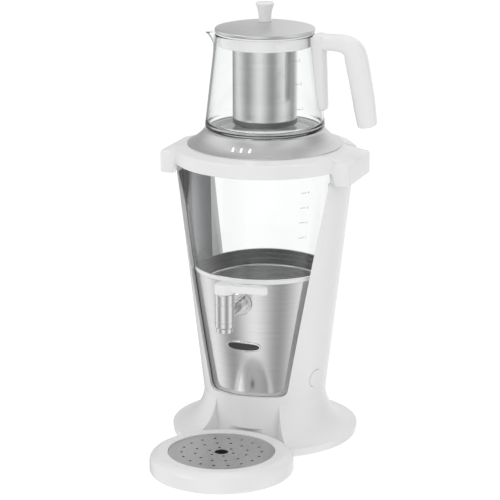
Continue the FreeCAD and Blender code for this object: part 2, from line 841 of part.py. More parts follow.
# Tank: a conical glass on a white rim ring, with a stepped seal down to the steel boiler pot
tank_offset = size.frame_wall + size.running_gap
node(cone_wall("GlassTank", size.tank_low, size.tank_top, tank_offset + size.glass_wall, tank_offset),
     "glass_tank")
tank_mouth = frame_radius(size.tank_top) - tank_offset
collar_underside = size.collar_side_top - size.collar_wall + 1.4
node(turned("TankTopGasket", [
    (tank_mouth - size.glass_wall - 1.5, size.tank_top),
    (tank_mouth + 1.0, size.tank_top),
    (tank_mouth + 1.0, collar_underside),
    (tank_mouth - size.glass_wall - 1.5, collar_underside + 0.6),
]), "tank_top_gasket")
rim_outer = frame_radius(size.rim_low) - size.frame_wall - size.fit_gap
tank_foot = frame_radius(size.tank_low) - tank_offset
rim_inner = tank_foot - size.glass_wall
node(turned("TankRimRing", [
    (rim_inner, size.rim_low),
    (rim_outer, size.rim_low),
    (rim_outer, size.tank_low),
    (rim_inner, size.tank_low),
]), "tank_rim_ring")
step = size.seal_step
seal_tread = (rim_inner - size.seal_inner_radius) / 3
node(turned("TankSeal", [
    (size.seal_inner_radius + size.pot_bead, size.pot_rim),
    (rim_inner, size.pot_rim),
    (rim_inner, size.tank_low),
    (rim_inner - seal_tread / 2, size.tank_low),
    (rim_inner - seal_tread / 2, size.tank_low - step),
    (rim_inner - seal_tread * 1.5, size.tank_low - step),
    (rim_inner - seal_tread * 1.5, size.tank_low - 2 * step),
    (size.seal_inner_radius + size.pot_bead, size.tank_low - 2 * step),
]), "tank_seal")
jacket_offset = size.frame_wall + size.jacket_gap
jacket = cone_wall("Jacket", size.parting_height, size.rim_low, jacket_offset + size.sheet_wall,
                   jacket_offset)
tap_hole = rod("TapHole", size.neck_radius, 80.0, depth=-size.flange_face - 5, height=size.tap_height,
               axis=(0, 1, 0))
node(cut("SteelJacket", jacket, tap_hole), "steel_jacket")
pot_side = size.pot_mouth_radius
pot_lip = pot_side + 4.0
pot = turned("PotShell", [
    (0, size.pot_low),
    (size.pot_foot_radius - 3, size.pot_low),
    (size.pot_foot_radius, size.pot_low + 3),
    (pot_side - size.sheet_wall, size.pot_rim - size.sheet_wall),
    (pot_lip, size.pot_rim - size.sheet_wall),
    (pot_lip, size.pot_rim),
    (pot_side + 0.9, size.pot_rim),
    (pot_side + 0.9, size.pot_rim + size.pot_bead, 1.45),
    (pot_side - 2.0, size.pot_rim + size.pot_bead),
    (pot_side - 2.0, size.pot_rim),
    (size.pot_foot_radius - size.sheet_wall, size.pot_low + 3.4),
    (size.pot_foot_radius - 3.4, size.pot_low + size.sheet_wall),
    (0, size.pot_low + size.sheet_wall),
])
node(cut("BoilerPot", pot, tap_hole), "boiler_pot")
heater_under = size.pot_low - size.heater_height
node(turned("HeaterPlate", [
    (0, heater_under),
    (size.heater_radius, heater_under),
    (size.heater_radius, size.pot_low),
    (0, size.pot_low),
]), "heater_plate")
element_gap_angle = 30.0
element = doc.addObject("Part::Torus", "ElementTube")
bind(element, "Radius1", size.element_circle)
bind(element, "Radius2", size.element_radius)
bind(element, "Angle3", 360 - 2 * element_gap_angle)
bind(element, "Placement.Base.z", heater_under - size.element_radius)
element_ends = [
    rod(f"ElementEnd{side}", size.element_radius - 0.5, 11.0, size.element_circle * cosine(angle),
        size.element_circle * sine(angle), heater_under - size.element_radius - 10.0)
    for side, angle in ((0, 2.0), (1, 358 - 2 * element_gap_angle))
]
node(join("HeatingElement", element, *element_ends), "heating_element")
node(group("Thermostats", *[
    rod(f"Thermostat{side}", size.thermostat_radius, size.thermostat_height, side * 17.0, 0,
        heater_under - size.thermostat_height)
    for side in (-1, 1)
]), "thermostats")

# Tap: a chrome body screwed through the jacket and the pot, with a turning plug under a white lever
flange_blank = rod("FlangeBlank", size.flange_radius, 12.0, depth=-size.flange_face,
                   height=size.tap_height, axis=(0, 1, 0))
jacket_solid = turned("JacketSolid", [
    (0, size.parting_height),
    (frame_radius(size.parting_height) - jacket_offset, size.parting_height),
    (frame_radius(size.rim_low) - jacket_offset, size.rim_low),
    (0, size.rim_low),
])
node(cut("TapFlange", rounded("FlangeSoft", flange_blank, 1.5, lambda edge: (
    edge.CenterOfMass.y < -SIZES["flange_face"] + 0.01)), jacket_solid, tap_hole), "tap_flange")
neck_inner = size.pot_mouth_radius - 14.0
neck = rod("Neck", size.neck_radius, size.tap_reach - neck_inner, depth=-size.tap_reach,
           height=size.tap_height, axis=(0, 1, 0))
neck_hole = rod("NeckHole", size.neck_bore, size.tap_reach - neck_inner + 1, depth=-size.tap_reach,
                height=size.tap_height, axis=(0, 1, 0))
barrel = place(turned("Barrel", [
    (0, size.barrel_low),
    (size.barrel_radius - 1.5, size.barrel_low),
    (size.barrel_radius - 1.5, size.barrel_low + 5),
    (size.barrel_radius, size.barrel_low + 6.5),
    (size.barrel_radius, size.barrel_top - 1),
    (size.barrel_radius - 1, size.barrel_top),
    (0, size.barrel_top),
]), depth=-size.tap_reach)
plug_seat = size.barrel_low + size.outlet_length
barrel_bore = place(turned("BarrelBore", [
    (0, size.barrel_low - 1),
    (size.outlet_radius, size.barrel_low - 1),
    (size.outlet_radius, plug_seat),
    (size.plug_radius + size.plug_clearance, plug_seat),
    (size.plug_radius + size.plug_clearance, size.barrel_top + 1),
    (0, size.barrel_top + 1),
]), depth=-size.tap_reach)
node(cut("TapBody", join("TapSolid", neck, barrel), barrel_bore, neck_hole), "tap_body")
nut_side = size.nut_across_flats / 2
nut_corner = nut_side / cosine(30)
nut_outline = [(nut_corner * cosine(60 * k), size.tap_height + nut_corner * sine(60 * k)) for k in range(6)]
nut = doc.addObject("PartDesign::Body", "Nut")
nut_sketch = new_sketch(nut, "XZ_Plane", neck_inner + 1.5)
draw(nut_sketch, nut_outline)
nut_pad = nut.newObject("PartDesign::Pad", "NutPad")
nut_pad.Profile = nut_sketch
bind(nut_pad, "Length", size.nut_thickness)
node(cut("TapNut", nut, tap_hole), "tap_nut")
washer_start = neck_inner + 1.5 + size.nut_thickness
pot_face = overlap("WasherStock", rod("WasherBlank", size.washer_radius, 12.0, depth=-washer_start - 12,
                                      height=size.tap_height, axis=(0, 1, 0)), turned("PotInside", [
    (0, size.pot_low + 10),
    (size.pot_foot_radius - size.sheet_wall, size.pot_low + 3.4),
    (pot_side - 2.0, size.pot_rim),
    (0, size.pot_rim),
]))
node(cut("TapWasher", pot_face, tap_hole), "tap_washer")

plug_low = plug_seat + size.fit_gap
plug_solid = place(turned("PlugSolid", [
    (0, plug_low),
    (size.plug_radius, plug_low),
    (size.plug_radius, size.plug_top),
    (size.stem_radius, size.plug_top + 1),
    (size.stem_radius, size.cap_top - 4),
    (0, size.cap_top - 4),
]), depth=-size.tap_reach)
plug_ports = join("PlugPorts",
                  rod("PlugDown", size.neck_bore, 12.0, 0, -size.tap_reach, plug_low - 1),
                  rod("PlugAcross", size.neck_bore, 12.0, 0, -size.tap_reach, size.tap_height,
                      axis=(-1, 0, 0)))
node(cut("TapPlug", plug_solid, plug_ports), "tap_plug")
cap_low = size.barrel_top + size.fit_gap
lever_low = size.cap_top - size.lever_thickness - 0.8
lever_plan = [
    (0, -size.lever_root_width / 2),
    (size.lever_reach - size.lever_tip_width / 2, -size.lever_tip_width / 2, size.lever_tip_width / 2),
    (size.lever_reach, 0, size.lever_tip_width / 2),
    (size.lever_reach - size.lever_tip_width / 2, size.lever_tip_width / 2),
    (0, size.lever_root_width / 2),
]
lever_arm = rounded("LeverArm", place(block("LeverBar", lever_low, lever_low + size.lever_thickness,
                                            lever_plan), depth=-size.tap_reach), 1.6,
                    lambda edge: abs(edge.BoundBox.ZMax - edge.BoundBox.ZMin) < 0.01
                    and edge.BoundBox.XMax > 1)
lever_cap = place(turned("LeverCap", [
    (0, cap_low),
    (size.cap_radius, cap_low),
    (size.cap_radius, size.cap_top - 3, 3),
    (size.cap_radius - 3, size.cap_top),
    (0, size.cap_top),
]), depth=-size.tap_reach)
stem_hole = rod("StemHole", size.stem_radius, size.cap_top - 4 - cap_low + 1, 0, -size.tap_reach, cap_low - 1)
node(cut("TapLever", join("LeverSolid", lever_cap, lever_arm), stem_hole), "tap_lever")

# Power button, set flush in the right pillar over a small dome switch
button_out = frame_radius(size.button_height)
button_stock = button_rod("ButtonStock", size.button_radius, 40.0, 60.0)
button_shell = cone_wall("ButtonShell", size.button_height - 15, size.button_height + 15,
                         size.button_depth, -size.button_proud)
node(overlap("PowerButton", button_stock, button_shell), "power_button")
switch_face = button_out - size.button_depth - size.button_travel - 0.5
board_back = button_out - size.frame_wall + 0.1
frame_inner_cone = turned("FrameInnerCone", [
    (0, size.parting_height),
    (frame_radius(size.parting_height) - size.frame_wall, size.parting_height),
    (frame_radius(size.rim_low) - size.frame_wall, size.rim_low),
    (0, size.rim_low),
])
switch_solid = join("SwitchSolid",
                    button_rod("ButtonBoard", size.button_radius, board_back, 0.8),
                    button_rod("ButtonDome", size.switch_radius, board_back + 0.5,
                               switch_face - board_back - 0.5))
node(cut("ButtonSwitch", switch_solid, frame_inner_cone), "button_switch")

# Drip tray: a round moulding that slides into the recess, under a perforated plate
plate_top = size.tray_height - size.plate_sink
plate_under = plate_top - size.plate_thickness
rim_inside = size.plate_radius + size.fit_gap
tray = turned("Tray", [
    (0, 0),
    (size.tray_radius - size.tray_bevel, 0),
    (size.tray_radius, size.tray_bevel),
    (size.tray_radius, size.tray_side, 15),
    (size.tray_radius - 9, size.tray_height),
    (rim_inside + 1, size.tray_height),
    (rim_inside, size.tray_height - 1),
    (rim_inside, plate_under),
    (rim_inside - 3, plate_under),
    (rim_inside - 3, size.tray_wall),
    (0, size.tray_wall),
])
node(place(tray, depth=-size.tray_centre), "drip_tray")
plate = doc.addObject("PartDesign::Body", "Plate")
plate_sketch = new_sketch(plate, "XY_Plane", plate_under)
draw_circle(plate_sketch, 0, 0, size.plate_radius, "rim")
draw_circle(plate_sketch, 0, 0, size.finger_radius, "finger")
plate_pad = plate.newObject("PartDesign::Pad", "PlatePad")
plate_pad.Profile = plate_sketch
bind(plate_pad, "Length", size.plate_thickness)
for circle, count in ((size.outer_holes_circle, "outer_holes"), (size.middle_holes_circle, "middle_holes"),
                      (size.inner_holes_circle, "inner_holes")):
    hole_sketch = new_sketch(plate, "XY_Plane", plate_under)
    draw_circle(hole_sketch, circle, 0, size.drain_radius, "hole")
    hole_pocket = plate.newObject("PartDesign::Pocket", "Drain" + count)
    hole_pocket.Profile = hole_sketch
    hole_pocket.Type = 1
    hole_pocket.Midplane = True
    drains = plate.newObject("PartDesign::PolarPattern", "Drains" + count)
    drains.Originals = [hole_pocket]
    drains.Axis = (hole_sketch, ["N_Axis"])
    drains.Angle = 360
    bind(drains, "Occurrences", getattr(size, count))
    plate.Tip = drains
node(place(plate, depth=-size.tray_centre), "drip_plate")

# Teapot: blown glass with a drawn lip, and a moulded handle held against it
pot_bottom = size.ring_top + size.seat_gap
heel_top = pot_bottom + size.pot_heel
wall = size.pot_glass_wall
glass_slope = (size.pot_belly_radius - size.pot_neck_radius) / (size.teapot_mouth_height - heel_top)
glass_outer = turned("GlassOuter", [
    (0, pot_bottom),
    (size.pot_belly_radius - size.pot_heel, pot_bottom, size.pot_heel + 0.1),
    (size.pot_belly_radius, heel_top),
    (size.pot_neck_radius, size.teapot_mouth_height),
    (0, size.teapot_mouth_height),
])
glass_inner = turned("GlassInner", [
    (0, pot_bottom + size.pot_floor),
    (size.pot_belly_radius - size.pot_heel - wall, pot_bottom + size.pot_floor, size.pot_heel),
    (size.pot_belly_radius - wall, pot_bottom + size.pot_floor + size.pot_heel),
    (size.pot_neck_radius - wall, size.teapot_mouth_height),
    (size.pot_neck_radius - wall, size.teapot_mouth_height + 5),
    (0, size.teapot_mouth_height + 5),
])


def spout(name, inset, root_height, lip_height, top, near, far):
    """A drawn lip as a loft from a deep V at the glass to a small one at its tip."""
    sections = []
    for tag, across, half_width, low in (("Root", near, size.spout_half_width - inset, root_height),
                                         ("Tip", far, 2.2 - inset / 2, lip_height)):
        section = doc.addObject("Sketcher::SketchObject", name + tag)
        section.Placement = FreeCAD.Placement(FreeCAD.Vector(0, 0, 0),
                                              FreeCAD.Rotation(FreeCAD.Vector(1, 1, 1), 120))
        draw(section, [(-half_width, top), (-half_width / 3, low + 1.5), (half_width / 3, low + 1.5),
                       (half_width, top)])
        bind(section, "Placement.Base.x", across)
        sections.append(section)
    loft = doc.addObject("Part::Loft", name)
    loft.Sections = sections
    loft.Solid = True
    loft.Ruled = True
    return loft


mouth = size.teapot_mouth_height
spout_outer = spout("SpoutOuter", 0, size.spout_root, size.spout_lip - 3, mouth,
                    -size.pot_neck_radius + 1, -size.spout_reach)
spout_inner = spout("SpoutInner", 1.8, size.spout_root + 3, size.spout_lip - 1.4, mouth + 1,
                    -size.pot_neck_radius + wall + 4, -size.spout_reach - 0.6)
spout_trim = box("SpoutTrim", 12.0, 60.0, 12.0, across=-size.spout_reach, back=-30.0,
                 height=size.spout_lip + 2.5)
glass_wall_solid = join("GlassWithSpout", glass_outer, spout_outer)
node(cut("TeapotGlass", glass_wall_solid, glass_inner, spout_inner), "teapot_glass")

bar_tall = size.bar_high - size.bar_low
bar_middle = size.bar_low + bar_tall / 2
lean_sine = sine(size.grip_lean)
lean_cosine = cosine(size.grip_lean)
grip_drop = bar_middle - size.grip_low
elbow_across = size.grip_reach - bar_tall / 2 - (grip_drop - size.elbow_radius) * lean_sine / lean_cosine
elbow_start = elbow_across - size.elbow_radius * lean_cosine
elbow_height = bar_middle - size.elbow_radius + size.elbow_radius * lean_sine
spine = doc.addObject("Sketcher::SketchObject", "HandleSpine")
spine.Placement = FreeCAD.Placement(FreeCAD.Vector(0, 0, 0), FreeCAD.Rotation(FreeCAD.Vector(1, 0, 0), 90))
draw(spine, [
    (size.pot_neck_radius, bar_middle),
    (elbow_start, bar_middle, -size.elbow_radius),
    (elbow_start + size.elbow_radius * lean_cosine, elbow_height),
    (elbow_start + size.elbow_radius * lean_cosine + (elbow_height - size.grip_low) * lean_sine / lean_cosine,
     size.grip_low),
], closed=False)
section = doc.addObject("Sketcher::SketchObject", "HandleSection")
section.Placement = FreeCAD.Placement(FreeCAD.Vector(0, 0, 0),
                                      FreeCAD.Rotation(FreeCAD.Vector(1, 1, 1), 120))
bind(section, "Placement.Base.x", size.pot_neck_radius)
half = size.grip_width / 2
corner = size.handle_round
draw(section, [
    (corner - half, size.bar_low),
    (half - corner, size.bar_low, corner), (half, size.bar_low + corner),
    (half, size.bar_high - corner, corner), (half - corner, size.bar_high),
    (corner - half, size.bar_high, corner), (-half, size.bar_high - corner),
    (-half, size.bar_low + corner, corner),
])
handle_bar = doc.addObject("Part::Sweep", "HandleBar")
handle_bar.Sections = [section]
doc.recompute()
handle_bar.Spine = (spine, [f"Edge{i + 1}" for i in range(3)])
handle_bar.Solid = True
handle_bar.Frenet = False
grip_end = SIZES["grip_low"] + 6.0
handle_soft = rounded("HandleSoft", handle_bar, 5.0, lambda edge: edge.BoundBox.ZMax < grip_end)
strap_block = side_block("StrapBlock", size.strap_width, [
    (50, size.bar_high),
    (size.strap_reach - 1, size.bar_high),
    (size.strap_reach, size.bar_low),
    (size.strap_reach + 1.5, size.strap_low + 6, -6),
    (size.strap_reach - 9, size.strap_low + 2),
    (50, size.strap_low + 2),
])
strap_side = SIZES["strap_width"] / 2
strap_soft = rounded("StrapSoft", strap_block, 4.0, lambda edge: (
    abs(abs(edge.CenterOfMass.y) - strap_side) < 0.01 and edge.BoundBox.XMax > 51))
lid_room = rod("LidRoom", size.lid_radius + size.running_gap, 20.0, height=mouth)
node(cut("TeapotHandle", join("HandleSolid", handle_soft, strap_soft), glass_outer, lid_room), "teapot_handle")

# Infuser: a white rim ring in the teapot's mouth that carries a steel tube with a mesh foot
rim_radius = size.pot_neck_radius - wall - size.running_gap
flange_low = mouth + size.fit_gap
flange_high = flange_low + size.rim_flange_height
rim_web = size.rim_plug_wall
node(turned("InfuserRim", [
    (size.tube_radius, size.rim_plug_low),
    (rim_radius, size.rim_plug_low),
    (rim_radius, flange_low),
    (size.pot_neck_radius, flange_low),
    (size.pot_neck_radius, flange_high),
    (rim_radius - size.rim_plug_wall, flange_high),
    (rim_radius - size.rim_plug_wall, size.rim_plug_low + rim_web),
    (size.tube_radius, size.rim_plug_low + rim_web),
]), "infuser_rim")
web_top = size.rim_plug_low + rim_web
tube_inside = size.tube_radius - size.tube_wall
tube = turned("Tube", [
    (tube_inside, size.tube_low),
    (size.tube_radius, size.tube_low),
    (size.tube_radius, web_top),
    (size.tube_radius + 3, web_top),
    (size.tube_radius + 3, web_top + size.tube_wall),
    (tube_inside, web_top + size.tube_wall),
])
node(tube, "infuser_tube")
filter_cup = turned("FilterCup", [
    (0, size.infuser_low),
    (size.tube_radius - 2, size.infuser_low),
    (size.tube_radius, size.infuser_low + 2),
    (size.tube_radius, size.tube_low),
    (tube_inside, size.tube_low),
    (tube_inside, size.infuser_low + 2.3),
    (tube_inside - 1.5, size.infuser_low + size.tube_wall),
    (0, size.infuser_low + size.tube_wall),
])
filter_holes = join("FilterHoles", *[
    rod(f"FilterHole{k}", size.mesh_hole_radius, 3.0, x, y, size.infuser_low - 1)
    for k, (x, y) in enumerate(ring_of("mesh_holes", size.tube_radius - 8) + ring_of("inner_holes",
                                                                                  size.tube_radius / 2))
])
node(cut("InfuserFilter", filter_cup, filter_holes), "infuser_filter")

# Lid: a domed steel disc with a white knob screwed through its centre
lid_low = flange_high + size.fit_gap
lid_crown = size.lid_top
node(turned("LidDisc", [
    (size.lid_radius - size.lid_sheet - 0.5, lid_low),
    (size.lid_radius - 0.3, lid_low),
    (size.lid_radius, size.lid_edge, size.lid_curve),
    (size.knob_foot_radius, lid_crown),
    (size.screw_radius, lid_crown),
    (size.screw_radius, lid_crown - size.lid_sheet),
    (size.knob_foot_radius, lid_crown - size.lid_sheet, -size.lid_curve),
    (size.lid_radius - size.lid_sheet - 0.5, size.lid_edge - size.lid_sheet),
]), "lid_disc")
node(turned("LidKnob", [
    (size.screw_radius, lid_crown),
    (size.knob_foot_radius, lid_crown, -60),
    (size.knob_head_radius, size.knob_top - 1.2),
    (size.knob_head_radius - 1.2, size.knob_top),
    (0, size.knob_top),
    (0, lid_crown + 11),
    (size.screw_radius, lid_crown + 10),
]), "lid_knob")
node(turned("LidScrew", [
    (0, lid_crown - size.lid_sheet - 1.8),
    (size.screw_head_radius + 1, lid_crown - size.lid_sheet - 1.8),
    (size.screw_head_radius + 1, lid_crown - size.lid_sheet),
    (size.screw_radius, lid_crown - size.lid_sheet),
    (size.screw_radius, lid_crown + 9.5),
    (0, lid_crown + 9.5),
]), "lid_screw")
seal_outer = rim_radius - size.rim_plug_wall - size.running_gap
node(turned("LidSeal", [
    (seal_outer - size.lid_seal_width, lid_low - 3),
    (seal_outer, lid_low - 3),
    (seal_outer, lid_low),
    (size.lid_radius - size.lid_sheet - 0.5, lid_low),
    (size.lid_radius - size.lid_sheet - 0.5, lid_low + 1.2),
    (seal_outer - size.lid_seal_width, lid_low + 1.2),
]), "lid_seal")

doc.recompute()
faults = [f"{thing.Name}: {', '.join(thing.State)}" for thing in doc.Objects
          if "Invalid" in thing.State or "Error" in thing.State]
for piece in nodes:
    if piece.Shape.isNull() or not piece.Shape.isValid() or not piece.Shape.Solids:
        faults.append(f"{piece.Label}: no valid solid")
if faults:
    raise RuntimeError("\n".join(faults))

os.makedirs("parts", exist_ok=True)
for piece in nodes:
    piece.Shape.exportStep(f"parts/{piece.Label}.step")
    corners = piece.Shape.BoundBox
    print(f"{piece.Label}: {len(piece.Shape.Solids)} solids, {piece.Shape.Volume / 1000:.2f} cm3, "
          f"X {corners.XMin:.1f} to {corners.XMax:.1f}, Y {corners.YMin:.1f} to {corners.YMax:.1f}, "
          f"Z {corners.ZMin:.1f} to {corners.ZMax:.1f}")
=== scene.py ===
import math

import bmesh
import bpy
import numpy as np
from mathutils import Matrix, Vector


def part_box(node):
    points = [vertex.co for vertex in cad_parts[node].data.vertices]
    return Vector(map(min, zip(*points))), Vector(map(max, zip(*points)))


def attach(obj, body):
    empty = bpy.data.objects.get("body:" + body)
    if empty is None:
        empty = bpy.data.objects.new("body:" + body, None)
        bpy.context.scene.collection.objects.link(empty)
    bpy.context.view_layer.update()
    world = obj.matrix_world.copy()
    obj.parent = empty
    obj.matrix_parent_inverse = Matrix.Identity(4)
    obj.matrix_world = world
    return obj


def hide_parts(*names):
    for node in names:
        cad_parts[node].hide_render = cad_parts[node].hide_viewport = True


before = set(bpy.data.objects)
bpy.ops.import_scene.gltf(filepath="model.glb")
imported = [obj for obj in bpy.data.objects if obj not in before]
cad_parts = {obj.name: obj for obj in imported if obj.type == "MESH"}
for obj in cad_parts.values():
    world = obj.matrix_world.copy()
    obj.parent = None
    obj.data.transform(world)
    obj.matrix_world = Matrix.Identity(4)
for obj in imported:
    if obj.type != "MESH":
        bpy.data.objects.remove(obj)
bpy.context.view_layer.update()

# Studio: white paper under the machine, two soft panels at the sides and one above, and a long lens
# to the right of the tap, a little above the middle of the machine.
AXIS_LOOK = 0.213
CAMERA_DISTANCE = 2.700
CAMERA_AZIMUTH = math.radians(19.8)
CAMERA_PITCH = math.radians(15.2)
FOCAL_PIXELS = 2400.0
PHOTO_PIXELS = 500.0
AXIS_PIXELS_RIGHT = 15.0
SENSOR = 36.0

camera_data = bpy.data.cameras.new("studio_camera")
camera_data.sensor_width = SENSOR
camera_data.lens = FOCAL_PIXELS / PHOTO_PIXELS * SENSOR
camera_data.shift_x = -AXIS_PIXELS_RIGHT / PHOTO_PIXELS
camera_data.clip_end = 20.0
camera = bpy.data.objects.new("studio_camera", camera_data)
bpy.context.scene.collection.objects.link(camera)
sight = Vector((math.sin(CAMERA_AZIMUTH) * math.cos(CAMERA_PITCH),
                -math.cos(CAMERA_AZIMUTH) * math.cos(CAMERA_PITCH), math.sin(CAMERA_PITCH)))
camera.location = Vector((0, 0, AXIS_LOOK)) + sight * CAMERA_DISTANCE
camera.rotation_euler = (-sight).to_track_quat("-Z", "Y").to_euler()
bpy.context.scene.camera = camera
bpy.context.scene.view_settings.view_transform = "Standard"


def grid_piece(name, points, wrap_rows=False, wrap_columns=False, crease=35.0):
    """A mesh from a grid of points: rows by columns by xyz. Each cell of four neighbours is one face;
    rows and columns may close on themselves. Points that coincide, as at a pole, become one."""
    rows, columns = points.shape[:2]
    down = np.arange(rows if wrap_rows else rows - 1)
    along = np.arange(columns if wrap_columns else columns - 1)
    i, j = np.meshgrid(down, along, indexing="ij")
    next_i, next_j = (i + 1) % rows, (j + 1) % columns
    faces = np.stack([i * columns + j, i * columns + next_j, next_i * columns + next_j,
                      next_i * columns + j], -1).reshape(-1, 4)
    mesh = bpy.data.meshes.new(name)
    mesh.from_pydata(points.reshape(-1, 3).tolist(), [], faces.tolist())
    work = bmesh.new()
    work.from_mesh(mesh)
    bmesh.ops.remove_doubles(work, verts=work.verts, dist=2e-6)
    bmesh.ops.dissolve_degenerate(work, edges=work.edges, dist=1e-7)
    bmesh.ops.recalc_face_normals(work, faces=work.faces)
    work.to_mesh(mesh)
    work.free()
    mesh.polygons.foreach_set("use_smooth", np.ones(len(mesh.polygons), bool))
    mesh.set_sharp_from_angle(angle=math.radians(crease))
    piece = bpy.data.objects.new(name, mesh)
    bpy.context.scene.collection.objects.link(piece)
    return piece


floor_half = 6.0
floor_steps = np.linspace(-floor_half, floor_half, 3)
floor_x, floor_y = np.meshgrid(floor_steps, floor_steps, indexing="ij")
floor = grid_piece("studio_floor", np.stack([floor_x, floor_y, np.full_like(floor_x, -0.0004)], -1))


class Nodes:
    """A material's node tree with short calls to add nodes and join sockets."""

    def __init__(self, name):
        self.material = bpy.data.materials.new(name)
        self.material.use_nodes = True
        self.tree = self.material.node_tree
        self.shader = self.tree.nodes["Principled BSDF"]
        self.output = self.tree.nodes["Material Output"]

    def add(self, kind, **values):
        made = self.tree.nodes.new(kind)
        for key, value in values.items():
            setattr(made, key, value)
        return made

    def join(self, source, target):
        self.tree.links.new(source, target)

    def set(self, **values):
        for key, value in values.items():
            self.shader.inputs[key.replace("_", " ")].default_value = value

    def object_coords(self, scale=(1, 1, 1)):
        coords = self.add("ShaderNodeTexCoord")
        mapping = self.add("ShaderNodeMapping")
        mapping.inputs["Scale"].default_value = scale
        self.join(coords.outputs["Object"], mapping.inputs["Vector"])
        return mapping.outputs["Vector"]

    def noise(self, vector, scale, detail=3.0, roughness=0.55):
        texture = self.add("ShaderNodeTexNoise")
        texture.inputs["Scale"].default_value = scale
        texture.inputs["Detail"].default_value = detail
        texture.inputs["Roughness"].default_value = roughness
        self.join(vector, texture.inputs["Vector"])
        return texture.outputs["Fac"]

    def spread(self, value, low, high, low_in=0.3, high_in=0.7):
        made = self.add("ShaderNodeMapRange")
        made.inputs["From Min"].default_value = low_in
        made.inputs["From Max"].default_value = high_in
        made.inputs["To Min"].default_value = low
        made.inputs["To Max"].default_value = high
        self.join(value, made.inputs["Value"])
        return made.outputs["Result"]

    def blend(self, value, dark, light):
        ramp = self.add("ShaderNodeMix", data_type="RGBA")
        ramp.inputs["A"].default_value = (*dark, 1)
        ramp.inputs["B"].default_value = (*light, 1)
        self.join(value, ramp.inputs["Factor"])
        return ramp.outputs["Result"]

    def tint(self, value, dark, light):
        self.join(self.blend(value, dark, light), self.shader.inputs["Base Color"])

    def bump(self, height, strength, distance):
        made = self.add("ShaderNodeBump")
        made.inputs["Strength"].default_value = strength
        made.inputs["Distance"].default_value = distance
        self.join(height, made.inputs["Height"])
        self.join(made.outputs["Normal"], self.shader.inputs["Normal"])


# The paper glows to full white for the camera and keeps a faint shadow; polished metal looks through it
# at the studio's dark and bright walls.
paper = Nodes("studio_paper")
paper.set(Roughness=0.9)
paper_grain = paper.noise(paper.object_coords(), 30.0)
paper.tint(paper.spread(paper_grain, 0.0, 1.0), (0.34, 0.34, 0.34), (0.36, 0.36, 0.36))
paper_rays = paper.add("ShaderNodeLightPath")
paper.set(Emission_Color=(1, 1, 1, 1), Emission_Strength=0.74)
paper_gap = paper.add("ShaderNodeBsdfTransparent")
paper_mix = paper.add("ShaderNodeMixShader")
paper_mirrored = paper.add("ShaderNodeMath", operation="MINIMUM")
paper_mirrored.inputs[1].default_value = 1.0
paper.join(paper_rays.outputs["Glossy Depth"], paper_mirrored.inputs[0])
paper.join(paper_mirrored.outputs["Value"], paper_mix.inputs["Fac"])
paper.join(paper.shader.outputs["BSDF"], paper_mix.inputs[1])
paper.join(paper_gap.outputs["BSDF"], paper_mix.inputs[2])
paper.join(paper_mix.outputs["Shader"], paper.output.inputs["Surface"])
floor.data.materials.append(paper.material)

world = bpy.data.worlds.new("studio_world")
world.use_nodes = True
bpy.context.scene.world = world
world_nodes = world.node_tree.nodes
world_links = world.node_tree.links
backdrop = world_nodes["Background"]
rays = world_nodes.new("ShaderNodeLightPath")
mirrored = world_nodes.new("ShaderNodeMath")
mirrored.operation = "MINIMUM"
mirrored.inputs[1].default_value = 1.0
world_links.new(rays.outputs["Glossy Depth"], mirrored.inputs[0])
direction = world_nodes.new("ShaderNodeTexCoord")
split = world_nodes.new("ShaderNodeSeparateXYZ")
world_links.new(direction.outputs["Generated"], split.inputs["Vector"])
turn = world_nodes.new("ShaderNodeMath")
turn.operation = "ARCTAN2"
world_links.new(split.outputs["Y"], turn.inputs[0])
world_links.new(split.outputs["X"], turn.inputs[1])
bands = world_nodes.new("ShaderNodeMapRange")
bands.inputs["From Min"].default_value = -math.pi
bands.inputs["From Max"].default_value = math.pi
world_links.new(turn.outputs["Value"], bands.inputs["Value"])
band_ramp = world_nodes.new("ShaderNodeValToRGB")
band_ramp.color_ramp.interpolation = "EASE"
# Walls round the machine: soft white panels with grey flags between them, evenly spaced.
PANEL_COUNT = 4
PANEL_LEVEL = 0.92
FLAG_LEVEL = 0.36
ramp_elements = band_ramp.color_ramp.elements
ramp_elements[0].color = ramp_elements[1].color = (PANEL_LEVEL,) * 3 + (1,)
for step in range(1, 2 * PANEL_COUNT):
    element = ramp_elements.new(step / (2 * PANEL_COUNT))
    element.color = (FLAG_LEVEL if step % 2 else PANEL_LEVEL,) * 3 + (1,)
world_links.new(bands.outputs["Result"], band_ramp.inputs["Fac"])
glossy_mix = world_nodes.new("ShaderNodeMix")
glossy_mix.data_type = "RGBA"
scattered = world_nodes.new("ShaderNodeMath")
scattered.operation = "MINIMUM"
scattered.inputs[1].default_value = 1.0
world_links.new(rays.outputs["Diffuse Depth"], scattered.inputs[0])
soft_mix = world_nodes.new("ShaderNodeMix")
soft_mix.data_type = "RGBA"
soft_mix.inputs["A"].default_value = (1, 1, 1, 1)
soft_mix.inputs["B"].default_value = (0.70, 0.70, 0.70, 1)
world_links.new(scattered.outputs["Value"], soft_mix.inputs["Factor"])
world_links.new(soft_mix.outputs["Result"], glossy_mix.inputs["A"])
world_links.new(mirrored.outputs["Value"], glossy_mix.inputs["Factor"])
world_links.new(band_ramp.outputs["Color"], glossy_mix.inputs["B"])
world_links.new(glossy_mix.outputs["Result"], backdrop.inputs["Color"])
backdrop.inputs["Strength"].default_value = 1.0

